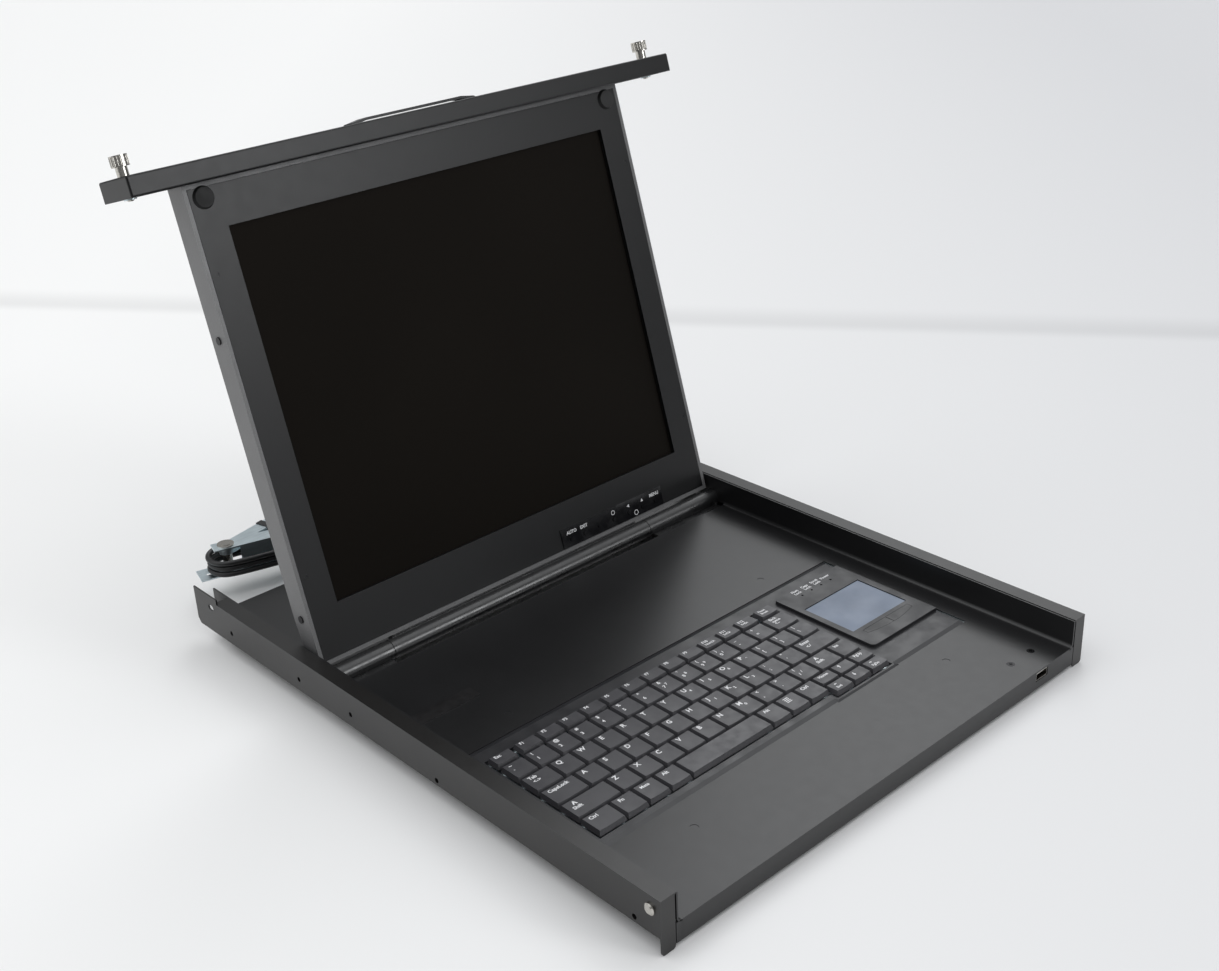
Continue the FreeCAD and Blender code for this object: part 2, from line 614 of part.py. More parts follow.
def key_cells():
    """Every key as (group, left, right, front, rear, stem count), row by row."""
    full = KEY_PITCH
    y = [KEYS_FRONT_Y + row * full for row in range(6)]
    cells = []

    def row_of(first_x, widths, front, rear):
        x = first_x
        for group, width in widths:
            stems = 1 + (width > 1.9) + (width > 3)
            cells.append((group, x, x + width * full, front, rear, stems))
            x += width * full

    top_front = y[5] + ROW_GAP
    spare = (14.25 - 14) * full / 2
    row_of(KEYS_LEFT_X, [("function_keys", 1)], top_front, top_front + HALF_ROW)
    row_of(KEYS_LEFT_X + full + spare, [("function_keys", 1)] * 12, top_front, top_front + HALF_ROW)
    row_of(KEYS_RIGHT_X - full, [("function_keys", 1)], top_front, top_front + HALF_ROW)
    row_of(KEYS_LEFT_X, [("number_keys", 1)] * 13 + [("backspace_key", 1.25)], y[4], y[5])
    row_of(KEYS_LEFT_X, [("tab_key", 1.25)] + [("upper_letter_keys", 1)] * 13, y[3], y[4])
    row_of(KEYS_LEFT_X, [("caps_lock_key", 1.5)] + [("home_letter_keys", 1)] * 11
           + [("enter_key", 1.75)], y[2], y[3])
    row_of(KEYS_LEFT_X, [("shift_keys", 2)] + [("lower_letter_keys", 1)] * 10
           + [("shift_keys", 1.25), ("navigation_keys", 1)], y[1], y[2])
    row_of(KEYS_LEFT_X, [("modifier_keys", 1.25)] + [("modifier_keys", 1)] * 3
           + [("space_bar", 4)] + [("modifier_keys", 1)] * 3, y[0], y[1])
    lower = y[0] - LOWER_ROW_DROP
    split = (lower + y[1]) / 2
    row_of(KEYS_RIGHT_X - 3 * full, [("navigation_keys", 1)] * 3, split, y[1])
    row_of(KEYS_RIGHT_X - 3 * full, [("navigation_keys", 1)] * 3, lower, split)
    return cells


def stem_centres(cell):
    """Where a key's stems stand: one in the middle, more on wide keys."""
    group, x0, x1, y0, y1, count = cell
    middle_y = (y0 + y1) / 2
    spacing = (x1 - x0) / count
    return [(x0 + spacing * (i + 0.5), middle_y) for i in range(count)]


def keycap(cell):
    """One sculpted keycap: tapered sides, cylindrical dish across, square stems."""
    group, x0, x1, y0, y1, count = cell
    half_gap = KEY_GAP / 2
    x0, x1, y0, y1 = x0 + half_gap, x1 - half_gap, y0 + half_gap, y1 - half_gap
    low = Part.makePolygon([Vector(x, y, KEY_BOTTOM_Z) for x, y in
                            ((x0, y0), (x1, y0), (x1, y1), (x0, y1), (x0, y0))])
    a0, a1 = x0 + KEY_TAPER_SIDE, x1 - KEY_TAPER_SIDE
    b0, b1 = y0 + KEY_TAPER_FRONT, y1 - KEY_TAPER_REAR
    high = Part.makePolygon([Vector(x, y, KEY_TOP_Z) for x, y in
                             ((a0, b0), (a1, b0), (a1, b1), (a0, b1), (a0, b0))])
    cap = Part.makeLoft([low, high], True, True)
    if group != "space_bar":
        cap = cap.cut(key_dish(a0, a1, b0, b1))
    stems = []
    half = STEM_SIDE / 2
    for x, y in stem_centres(cell):
        stems.append(box(x - half, x + half, y - half, y + half,
                         PLATE_BOTTOM_Z - STEM_BELOW_PLATE, KEY_BOTTOM_Z + 0.5))
    return fused([cap] + stems)


def key_dish(x0, x1, y0, y1):
    """Large cylinder that hollows a keycap's top by KEY_DISH."""
    half = (x1 - x0) / 2
    radius = (half ** 2 + KEY_DISH ** 2) / (2 * KEY_DISH)
    return rod(radius, ((x0 + x1) / 2, y0 - 2, KEY_TOP_Z + radius - KEY_DISH), Y_AXIS, y1 - y0 + 4)


def keyboard_base(cells):
    """Guide plate under the keys: a square hole for every stem, rim up to the tray."""
    x0, x1 = FRAME_LEFT_X - 4, FRAME_RIGHT_X + 5
    y0, y1 = FRAME_FRONT_Y - 5, FRAME_REAR_Y + 4
    base = box(x0, x1, y0, y1, PLATE_BOTTOM_Z, TRAY_FLOOR_UNDER_Z)
    inside = box(FRAME_LEFT_X - 0.6, FRAME_RIGHT_X + 0.6, FRAME_FRONT_Y - FRAME_BUMP - 0.6,
                 FRAME_REAR_Y + 0.6, PLATE_TOP_Z, TRAY_FLOOR_UNDER_Z + 1)
    half = STEM_SIDE / 2 + STEM_CLEARANCE
    centres = [centre for cell in cells for centre in stem_centres(cell)]
    middle = (PAD_BUTTON_LEFT + PAD_BUTTON_RIGHT) / 2
    centres.append(pad_button_stem(PAD_BUTTON_LEFT, middle))
    centres.append(pad_button_stem(middle, PAD_BUTTON_RIGHT))
    holes = [box(x - half, x + half, y - half, y + half, PLATE_BOTTOM_Z - 1, PLATE_TOP_Z + 1)
             for x, y in centres]
    return base.cut(inside).cut(holes)


# --- display -----------------------------------------------------------------
def display_back_cover():
    """Shell behind the screen, thinner at the chin, with posts for the screen."""
    half = DISPLAY_WIDTH / 2
    outline = [(FACE_Y, CHIN_BOTTOM), (FACE_Y, BAR_UP), (BACK_Y, BAR_UP), (BACK_Y, CHIN_TOP),
               (FACE_Y + CHIN_THICKNESS, CHIN_BOTTOM)]
    shell = side_profile(outline, -half, half)
    wall, back = HOUSING_WALL, HOUSING_BACK
    hollow = side_profile([(FACE_Y - 1, CHIN_BOTTOM + wall), (FACE_Y - 1, BAR_UP - wall),
                           (BACK_Y - back, BAR_UP - wall), (BACK_Y - back, CHIN_TOP),
                           (FACE_Y + CHIN_THICKNESS - back, CHIN_BOTTOM + wall)],
                          -half + wall, half - wall)
    pieces = [shell.cut(hollow)]
    module_back = FACE_Y + SCREEN_RECESS + PANEL_MODULE_THICKNESS
    for x in (-150.0, -50.0, 50.0, 150.0):
        for up in (90.0, 187.0, 284.0):
            pieces.append(rod(5.0, (x, module_back, up), Y_AXIS, BACK_Y - module_back - back / 2))
    seat = FACE_Y + BEZEL_THICKNESS
    for x in (-188.0, -100.0, 0.0, 160.0, 188.0):
        pieces.append(box(x - 1.5, x + 1.5, seat, FACE_Y + 14.0, CHIN_BOTTOM + wall / 2, 36.0))
        pieces.append(box(x - 1.5, x + 1.5, seat, BACK_Y - back / 2, 338.0, BAR_UP - wall / 2))
    pieces.append(box(-190.0, 190.0, FACE_Y + 4.0, FACE_Y + 6.0, BAR_UP - 1, DISPLAY_TOP - BAR_SHEET))
    screws = [rod(1.5, (side * (half + 1), FACE_Y + 10.0, up), Vector(-side, 0, 0), 3.0)
              for side in (-1, 1) for up in (45.0, 250.0)]
    return fused(pieces).cut(screws)


def display_side_screws():
    """Four small screws in the display's narrow sides."""
    half = DISPLAY_WIDTH / 2
    screws = []
    for side in (-1, 1):
        for up in (45.0, 250.0):
            centre = (side * (half - 2), FACE_Y + 10.0, up)
            shank = rod(1.5, centre, Vector(side, 0, 0), 2.5)
            head = rod(2.8, (side * half, FACE_Y + 10.0, up), Vector(side, 0, 0), 0.9)
            screws.append(fused([shank, head]))
    return grouped(screws)


def display_bezel():
    """Front plate with the screen window and the window for the button strip."""
    half = DISPLAY_WIDTH / 2 - HOUSING_WALL - BEZEL_SEAM
    face = box(-half, half, FACE_Y, FACE_Y + BEZEL_THICKNESS, CHIN_BOTTOM + HOUSING_WALL + BEZEL_SEAM,
               BEZEL_TOP)
    sw, s0 = SCREEN_WIDTH / 2, SCREEN_BOTTOM
    s1 = SCREEN_BOTTOM + SCREEN_HEIGHT
    rim = box(-sw - 2, sw + 2, FACE_Y, FACE_Y + SCREEN_RECESS, s0 - 2, s1 + 2)
    window = box(-sw, sw, FACE_Y - 1, FACE_Y + SCREEN_RECESS + 1, s0, s1)
    strip = box(OSD_LEFT + 3, OSD_RIGHT - 3, FACE_Y - 1, FACE_Y + 5, OSD_BOTTOM + 2, OSD_TOP - 2)
    marks = [rod(1.4, (side * 189.0, FACE_Y - 1, up), Y_AXIS, 1.3)
             for side in (-1, 1) for up in (76.0, 294.0)]
    return fused([face, rim]).cut([window, strip] + marks)


def lcd_panel():
    """Screen module: glass front and metal tray as one sealed piece."""
    margin = PANEL_MODULE_MARGIN
    sw, s0 = SCREEN_WIDTH / 2, SCREEN_BOTTOM
    front = FACE_Y + SCREEN_RECESS
    return box(-sw - margin, sw + margin, front, front + PANEL_MODULE_THICKNESS,
               s0 - margin, s0 + SCREEN_HEIGHT + margin)


def osd_strip():
    """Thin gloss strip on the bezel with holes for its buttons and lamps."""
    strip = box(OSD_LEFT, OSD_RIGHT, FACE_Y - OSD_PLATE, FACE_Y, OSD_BOTTOM, OSD_TOP)
    backer = box(OSD_LEFT + 3.2, OSD_RIGHT - 3.2, FACE_Y, FACE_Y + 5.0, OSD_BOTTOM + 2.2, OSD_TOP - 2.2)
    bores = [rod(OSD_BUTTON_RADIUS + 0.2, (x, FACE_Y - 2, OSD_BUTTONS_UP), Y_AXIS, 6.5)
             for x in OSD_BUTTONS_X]
    bores.append(rod(1.3, (POWER_HOLE_X, FACE_Y - 2, POWER_HOLE_UP), Y_AXIS, 4))
    bores.append(rod(0.8, (LED_X, FACE_Y - 2, OSD_BUTTONS_UP), Y_AXIS, 4))
    return fused([strip, backer]).cut(bores)


def osd_button(x):
    """One round push button of the strip."""
    front = FACE_Y - OSD_PLATE - OSD_BUTTON_PROUD
    return rod(OSD_BUTTON_RADIUS, (x, front, OSD_BUTTONS_UP), Y_AXIS, 4.6)


def front_bar():
    """Folded 19 inch front panel: face, two long flanges and two ends."""
    half = PANEL_WIDTH / 2
    y0 = FACE_Y - BAR_FRONT_PROUD
    y1 = y0 + PANEL_HEIGHT
    outer = box(-half, half, y0, y1, BAR_UP, DISPLAY_TOP)
    corners = [edge for edge in outer.Edges
               if all(abs(vertex.Z - DISPLAY_TOP) < 1e-6 for vertex in edge.Vertexes)]
    corners += [edge for edge in outer.Edges
                if all(abs(abs(vertex.X) - half) < 1e-6 for vertex in edge.Vertexes)
                and abs(edge.Vertexes[0].Y - edge.Vertexes[1].Y) < 1e-6]
    outer = outer.makeFillet(1.4, corners)
    wall = BAR_SHEET
    hollow = box(-half + wall, half - wall, y0 + wall, y1 - wall, BAR_UP - 1, DISPLAY_TOP - wall)
    screw_y = thumb_y()
    bores = [rod(THUMB_COLLAR_RADIUS + THUMB_RUN_CLEARANCE, (side * RACK_HOLE_SPACING / 2, screw_y, BAR_UP),
                 Z_AXIS, BAR_DEPTH + 1) for side in (-1, 1)]
    return outer.cut([hollow] + bores)


def thumb_y():
    """Height of the thumbscrews in the display's own frame."""
    return FACE_Y - BAR_FRONT_PROUD + PANEL_HEIGHT / 2


def pull_handle():
    """Low bow strip along the middle of the front panel, ends ramped to it."""
    half = HANDLE_WIDTH / 2
    z = DISPLAY_TOP
    rise, thick, ramp = HANDLE_STAND_OFF, HANDLE_THICKNESS, HANDLE_RAMP
    right = [(half, z), (half - 2, z + thick * 0.7), (half - ramp, z + rise + thick)]
    outer = [(-x, up) for x, up in right] + right[::-1]
    under = [(half - ramp / 2, z), (half - ramp - 1, z + rise), (-half + ramp + 1, z + rise),
             (-half + ramp / 2, z)]
    points = outer + under
    y0 = FACE_Y + HANDLE_MIDDLE_V - HANDLE_DEPTH / 2
    wire = Part.makePolygon([Vector(x, y0, up) for x, up in points + points[:1]])
    return Part.Face(wire).extrude(Vector(0, HANDLE_DEPTH, 0))


def screw_sleeves():
    """Two sleeves inside the front panel that guide the thumbscrews."""
    sleeves = []
    for side in (-1, 1):
        x, y = side * RACK_HOLE_SPACING / 2, thumb_y()
        inside = DISPLAY_TOP - BAR_SHEET
        tube = rod(THUMB_SLEEVE_RADIUS, (x, y, BAR_UP), Z_AXIS, inside - BAR_UP)
        bore = rod(THUMB_COLLAR_RADIUS + THUMB_RUN_CLEARANCE, (x, y, BAR_UP + 2), Z_AXIS, BAR_DEPTH)
        neck = rod(THUMB_THREAD_RADIUS + THUMB_RUN_CLEARANCE, (x, y, BAR_UP - 1), Z_AXIS, BAR_DEPTH)
        sleeves.append(tube.cut([bore, neck]))
    return grouped(sleeves)


def captive_screw(side):
    """Thumbscrew: fluted head, plain collar, thin thread and ring groove."""
    x, y = side * RACK_HOLE_SPACING / 2, thumb_y()
    head_up = DISPLAY_TOP + THUMB_LIFT
    head = rod(THUMB_HEAD_RADIUS, (x, y, head_up), Z_AXIS, THUMB_HEAD_HEIGHT)
    flutes = []
    for step in range(18):
        angle = 2 * math.pi * step / 18
        fx = x + (THUMB_HEAD_RADIUS + 0.25) * math.cos(angle)
        fy = y + (THUMB_HEAD_RADIUS + 0.25) * math.sin(angle)
        flutes.append(Part.makeCylinder(0.6, THUMB_HEAD_HEIGHT - 1.6, Vector(fx, fy, head_up + 0.8)))
    slot = box(x - 0.6, x + 0.6, y - 5, y + 5, head_up + THUMB_HEAD_HEIGHT - 1.2,
               head_up + THUMB_HEAD_HEIGHT + 1)
    head = head.cut(flutes + [slot])
    bottom = BAR_UP + 2.6 + THUMB_LIFT
    collar = rod(THUMB_COLLAR_RADIUS, (x, y, bottom), Z_AXIS, head_up + 0.5 - bottom)
    tip = BAR_UP - THUMB_TIP_BELOW
    thread = rod(THUMB_THREAD_RADIUS, (x, y, tip + 0.8), Z_AXIS, bottom + 0.5 - tip - 0.8)
    point = Part.makeCone(THUMB_THREAD_RADIUS - 0.8, THUMB_THREAD_RADIUS, 0.8, Vector(x, y, tip))
    return fused([head, collar, thread, point])


def screw_clip(side):
    """Retaining ring on the thread, under the sleeve's end."""
    x, y = side * RACK_HOLE_SPACING / 2, thumb_y()
    up = BAR_UP - CLIP_THICKNESS - 0.05
    ring = rod(CLIP_RADIUS, (x, y, up), Z_AXIS, CLIP_THICKNESS)
    return ring.cut(rod(THUMB_THREAD_RADIUS + THUMB_RUN_CLEARANCE, (x, y, up - 1), Z_AXIS, 3))


def rubber_bumpers():
    """Two round stops near the top corners of the bezel."""
    stops = []
    for side in (-1, 1):
        centre = (side * BUMPER_X, FACE_Y - BUMPER_HEIGHT, BUMPER_UP)
        body = Part.makeCone(BUMPER_RADIUS - 1.2, BUMPER_RADIUS, BUMPER_HEIGHT, Vector(*centre), Y_AXIS)
        stops.append(body)
    return grouped(stops)


# --- hinge -------------------------------------------------------------------
def hinge_barrel_centre():
    """Middle barrel that turns with the display, with its neck under the chin."""
    x0 = BARREL_LEFT_SEAM_X + BARREL_SEAM / 2
    x1 = BARREL_RIGHT_SEAM_X - BARREL_SEAM / 2
    barrel = rod(BARREL_RADIUS, (x0, 0, 0), X_AXIS, x1 - x0)
    neck = side_profile([(FACE_Y + 0.4, 3.0), (FACE_Y + 6.7, 3.0), (FACE_Y + 6.7, CHIN_BOTTOM),
                         (FACE_Y + 0.4, CHIN_BOTTOM)], x0 + 6, x1 - 6)
    reach = PIN_ENGAGE + 1.0
    bores = [rod(PIN_RADIUS + PIN_CLEARANCE, (x0 - 1, 0, 0), X_AXIS, reach + 1),
             rod(PIN_RADIUS + PIN_CLEARANCE, (x1 - reach, 0, 0), X_AXIS, reach + 1)]
    return fused([barrel, neck]).cut(bores)


def hinge_barrel_fixed(x0, x1):
    """End barrel held under the tray floor by its saddle."""
    barrel = rod(BARREL_RADIUS, (x0, HINGE_Y, HINGE_Z), X_AXIS, x1 - x0)
    z1 = TRAY_FLOOR_UNDER_Z
    saddle = box(x0 + 3, x1 - 3, HINGE_Y - BARREL_SLOT_FRONT - 5, HINGE_Y + BARREL_SLOT_REAR + 7,
                 z1 - SADDLE_THICKNESS, z1)
    bore = rod(PIN_RADIUS, (x0 - 1, HINGE_Y, HINGE_Z), X_AXIS, x1 - x0 + 2)
    return fused([barrel, saddle]).cut(bore)


def hinge_pins():
    """Two pins pressed into the end barrels, running in the middle one."""
    left = rod(PIN_RADIUS, (-TRAY_WALL_INSIDE, HINGE_Y, HINGE_Z), X_AXIS,
               BARREL_LEFT_SEAM_X + PIN_ENGAGE + TRAY_WALL_INSIDE)
    right = rod(PIN_RADIUS, (BARREL_RIGHT_SEAM_X - PIN_ENGAGE, HINGE_Y, HINGE_Z), X_AXIS,
                TRAY_WALL_INSIDE - BARREL_RIGHT_SEAM_X + PIN_ENGAGE)
    return grouped([left, right])


# --- cable arm ---------------------------------------------------------------
def swung(shape):
    """Take a piece of the inner link from its own frame (X along the link)."""
    placed = shape.copy()
    placed.rotate(Vector(0, 0, 0), Z_AXIS, ARM_ANGLE)
    placed.translate(Vector(ARM_PIVOT_X, ARM_PIVOT_Y, 0))
    return placed


def elbow_point():
    """Centre of the elbow in plan."""
    angle = math.radians(ARM_ANGLE)
    return (ARM_PIVOT_X + ARM_LENGTH * math.cos(angle), ARM_PIVOT_Y + ARM_LENGTH * math.sin(angle))


def folded(shape):
    """Take a piece of the outer link from its own frame to the elbow."""
    x, y = elbow_point()
    placed = shape.copy()
    placed.rotate(Vector(0, 0, 0), Z_AXIS, ARM_OUTER_ANGLE)
    placed.translate(Vector(x, y, 0))
    return placed


def arm_bracket():
    """Bracket on the tray's rear face with the tongue that carries the arm."""
    half = BRACKET_WIDTH / 2
    x, y = ARM_PIVOT_X, TRAY_LENGTH
    tongue_top = ARM_BOTTOM_Z - ARM_SHEET - 0.1
    face = box(x - half, x + half, y, y + ARM_SHEET, 1.5, tongue_top)
    tongue = box(x - 9, x + 9, y, ARM_PIVOT_Y + 9, tongue_top - ARM_SHEET, tongue_top)
    holes = [rod(GROMMET_RADIUS, (x, y - 1, CABLE_EXIT_Z), Y_AXIS, 4),
             rod(ARM_RIVET_RADIUS, (x, ARM_PIVOT_Y, tongue_top - 3), Z_AXIS, 5)]
    return fused([face, tongue]).cut(holes)


def bracket_screws():
    """Two screws that hold the bracket to the tray's rear face."""
    screws = []
    for side in (-1, 1):
        x = ARM_PIVOT_X + side * (BRACKET_WIDTH / 2 - 8)
        screws.append(rod(3.6, (x, TRAY_LENGTH + ARM_SHEET, 9.0), Y_AXIS, 2.2))
    return grouped(screws)


def drawer_pivot_rivet():
    """Shouldered rivet through the bracket's tongue and the inner link."""
    x, y = ARM_PIVOT_X, ARM_PIVOT_Y
    low = ARM_BOTTOM_Z - 2 * ARM_SHEET - 0.1
    shank = rod(ARM_RIVET_RADIUS, (x, y, low), Z_AXIS, ARM_BOTTOM_Z + 0.15 - low)
    foot = rod(ARM_BOSS_RADIUS, (x, y, low - 1.2), Z_AXIS, 1.2)
    head = rod(ARM_BOSS_RADIUS, (x, y, ARM_BOTTOM_Z + 0.1), Z_AXIS, 1.6)
    return fused([shank, foot, head])


def arm_link_inner():
    """Inner link: wide lower plate, front web and narrow top strip."""
    end = ARM_LENGTH + ARM_PLATE_OVERRUN
    half = ARM_PLATE_WIDTH / 2
    lower = box(-11, end, -half, half, ARM_BOTTOM_Z - ARM_SHEET, ARM_BOTTOM_Z)
    web_y = half - 1.5
    web = box(ARM_WEB_START, ARM_WEB_END, web_y - ARM_SHEET, web_y, ARM_BOTTOM_Z - ARM_SHEET / 2, ARM_TOP_Z)
    strip = box(20.0, ARM_LENGTH + 11, web_y - ARM_STRIP_WIDTH, web_y, ARM_TOP_Z - ARM_SHEET, ARM_TOP_Z)
    link = fused([lower, web, strip])
    bores = [rod(ARM_RIVET_RADIUS + 0.05, (0, 0, 0), Z_AXIS, 60),
             rod(ARM_RIVET_RADIUS, (ARM_LENGTH, 0, 0), Z_AXIS, 60),
             box(end - 12, end - 6, -2, 2, 0, 30)]
    return swung(link.cut(bores))


def elbow_rivet():
    """Long rivet through the elbow with a washer under its head."""
    x, y = elbow_point()
    low = ARM_BOTTOM_Z - ARM_SHEET
    shank = rod(ARM_RIVET_RADIUS, (x, y, low - 1.0), Z_AXIS, ARM_TOP_Z + 2.0 - low)
    foot = rod(ARM_BOSS_RADIUS, (x, y, low - 1.4), Z_AXIS, 1.4)
    washer = rod(ARM_BOSS_RADIUS + 0.3, (x, y, ARM_TOP_Z), Z_AXIS, 0.7)
    return fused([shank, foot, washer])


def arm_link_outer():
    """Outer link: shallow channel with a foot plate for the rack's rear post."""
    half = ARM_OUTER_WIDTH / 2
    z1 = ARM_OUTER_TOP_Z
    z0 = z1 - ARM_OUTER_HEIGHT
    channel = box(0, ARM_OUTER_LENGTH, -half, half, z0, z1)
    hollow = box(-10, ARM_OUTER_LENGTH + 1, -half + ARM_SHEET, half - ARM_SHEET, z0 - 1, z1 - ARM_SHEET)
    boss = rod(half, (0, 0, z0), Z_AXIS, ARM_OUTER_HEIGHT)
    foot = box(ARM_OUTER_LENGTH - ARM_SHEET, ARM_OUTER_LENGTH, -half - 18, half, z0 - 12, z1)
    link = fused([channel.cut(hollow), boss, foot])
    bores = [rod(ARM_RIVET_RADIUS + 0.05, (0, 0, 0), Z_AXIS, 60),
             rod(2.7, (ARM_OUTER_LENGTH - 5, -half - 11, z1 - 9), X_AXIS, 10)]
    return folded(link.cut(bores))


def cable_strap():
    """Strap round the outer link."""
    half = ARM_OUTER_WIDTH / 2
    z1 = ARM_OUTER_TOP_Z
    z0 = z1 - ARM_OUTER_HEIGHT
    outer = box(41, 47, -half - 0.7, half + 0.7, z0 - 0.6, z1 + 0.7)
    return folded(outer.cut(box(40, 48, -half, half, z0, z1)))


def stadium(radius, z0, z1):
    """Racetrack-shaped slug round the inner link, in the link's own frame."""
    ends = [rod(radius, (along, 0, z0), Z_AXIS, z1 - z0) for along in (HANK_NEAR, HANK_FAR)]
    middle = box(HANK_NEAR, HANK_FAR, -radius, radius, z0, z1)
    return fused(ends + [middle])


def cable_hank():
    """Console cable wound round the inner link, kept as one plain ring."""
    z0 = HANK_BOTTOM_Z
    z1 = z0 + HANK_HEIGHT
    outer = stadium(CABLE_TURN_RADIUS + CABLE_RADIUS, z0, z1)
    return swung(outer.cut(stadium(CABLE_TURN_RADIUS - CABLE_RADIUS, z0 - 1, z1 + 1)))


def cable_route(points):
    """Straight runs joined by tangent arcs, as one wire."""
    nodes = [Vector(*point) for point in points]
    start = nodes[0]
    edges = []
    for i in range(1, len(nodes) - 1):
        before = nodes[i] - nodes[i - 1]
        after = nodes[i + 1] - nodes[i]
        half_turn = before.getAngle(after) / 2
        shorter = min(before.Length, after.Length)
        radius = 0.45 * shorter / math.tan(half_turn)
        reach = 0.45 * shorter
        first = nodes[i] - before.normalize() * reach
        last = nodes[i] + after.normalize() * reach
        inward = (after - before).normalize()
        centre = nodes[i] + inward * (radius / math.cos(half_turn))
        middle = centre - inward * radius
        edges.append(Part.LineSegment(start, first).toShape())
        edges.append(Part.Arc(first, middle, last).toShape())
        print("cable bend radius", round(radius, 1), "turn", round(math.degrees(2 * half_turn)))
        start = last
    edges.append(Part.LineSegment(start, nodes[-1]).toShape())
    return Part.Wire(edges)


def cable_lead():
    """Cable from the grommet under the arm's pivot up to the first turn."""
    angle = math.radians(ARM_ANGLE)
    along = (math.cos(angle), math.sin(angle))
    aside = (-math.sin(angle), math.cos(angle))

    def on_link(u, z):
        w = -CABLE_TURN_RADIUS
        return (ARM_PIVOT_X + u * along[0] + w * aside[0], ARM_PIVOT_Y + u * along[1] + w * aside[1], z)

    start = (ARM_PIVOT_X, TRAY_LENGTH + ARM_SHEET + 0.2 + LEAD_CLEARANCE, CABLE_EXIT_Z)
    corner_y = ARM_PIVOT_Y - CABLE_TURN_RADIUS / math.cos(angle)
    strand_z = HANK_BOTTOM_Z + CABLE_RADIUS
    points = [start, (ARM_PIVOT_X, corner_y, CABLE_EXIT_Z), on_link(46.0, strand_z),
              on_link(HANK_NEAR, strand_z)]
    wire = cable_route(points)
    circle = Part.Wire([Part.makeCircle(CABLE_RADIUS, Vector(*start), Y_AXIS)])
    cable = wire.makePipeShell([circle], True, False)
    print("cable lead length", round(wire.Length, 1), "volume check",
          round(cable.Volume / (math.pi * CABLE_RADIUS ** 2 * wire.Length), 3))
    return cable


def cable_tail():
    """Straight end of the cable from the last turn to its plug."""
    z = HANK_BOTTOM_Z + HANK_HEIGHT - CABLE_RADIUS
    return swung(rod(CABLE_RADIUS, (HANK_NEAR - TAIL_LENGTH, CABLE_TURN_RADIUS, z), X_AXIS, TAIL_LENGTH))


def cable_plug():
    """Moulded plug with its metal nose at the end of the cable."""
    z = HANK_BOTTOM_Z + HANK_HEIGHT - CABLE_RADIUS
    end = HANK_NEAR - TAIL_LENGTH
    y = CABLE_TURN_RADIUS
    body = box(end - 24, end, y - 8, y + 8, z - 5.5, z + 5.5)
    body = body.makeFillet(2.0, [edge for edge in body.Edges if abs(edge.tangentAt(0.0).x) > 0.99])
    nose = box(end - 31, end - 23, y - 6, y + 6, z - 3.5, z + 3.5)
    return swung(fused([body, nose]))


def cable_grommet():
    """Rubber grommet in the tray's rear face and the bracket."""
    y0 = TRAY_LENGTH - SHEET
    y1 = TRAY_LENGTH + ARM_SHEET + 0.2
    ring = rod(GROMMET_RADIUS, (ARM_PIVOT_X, y0 - 1.0, CABLE_EXIT_Z), Y_AXIS, y1 - y0 + 1.0)
    flange = rod(GROMMET_RADIUS + 1.2, (ARM_PIVOT_X, y0 - 1.0, CABLE_EXIT_Z), Y_AXIS, 1.0)
    bore = rod(CABLE_RADIUS, (ARM_PIVOT_X, y0 - 2, CABLE_EXIT_Z), Y_AXIS, 1.0)
    return fused([ring, flange]).cut(bore)


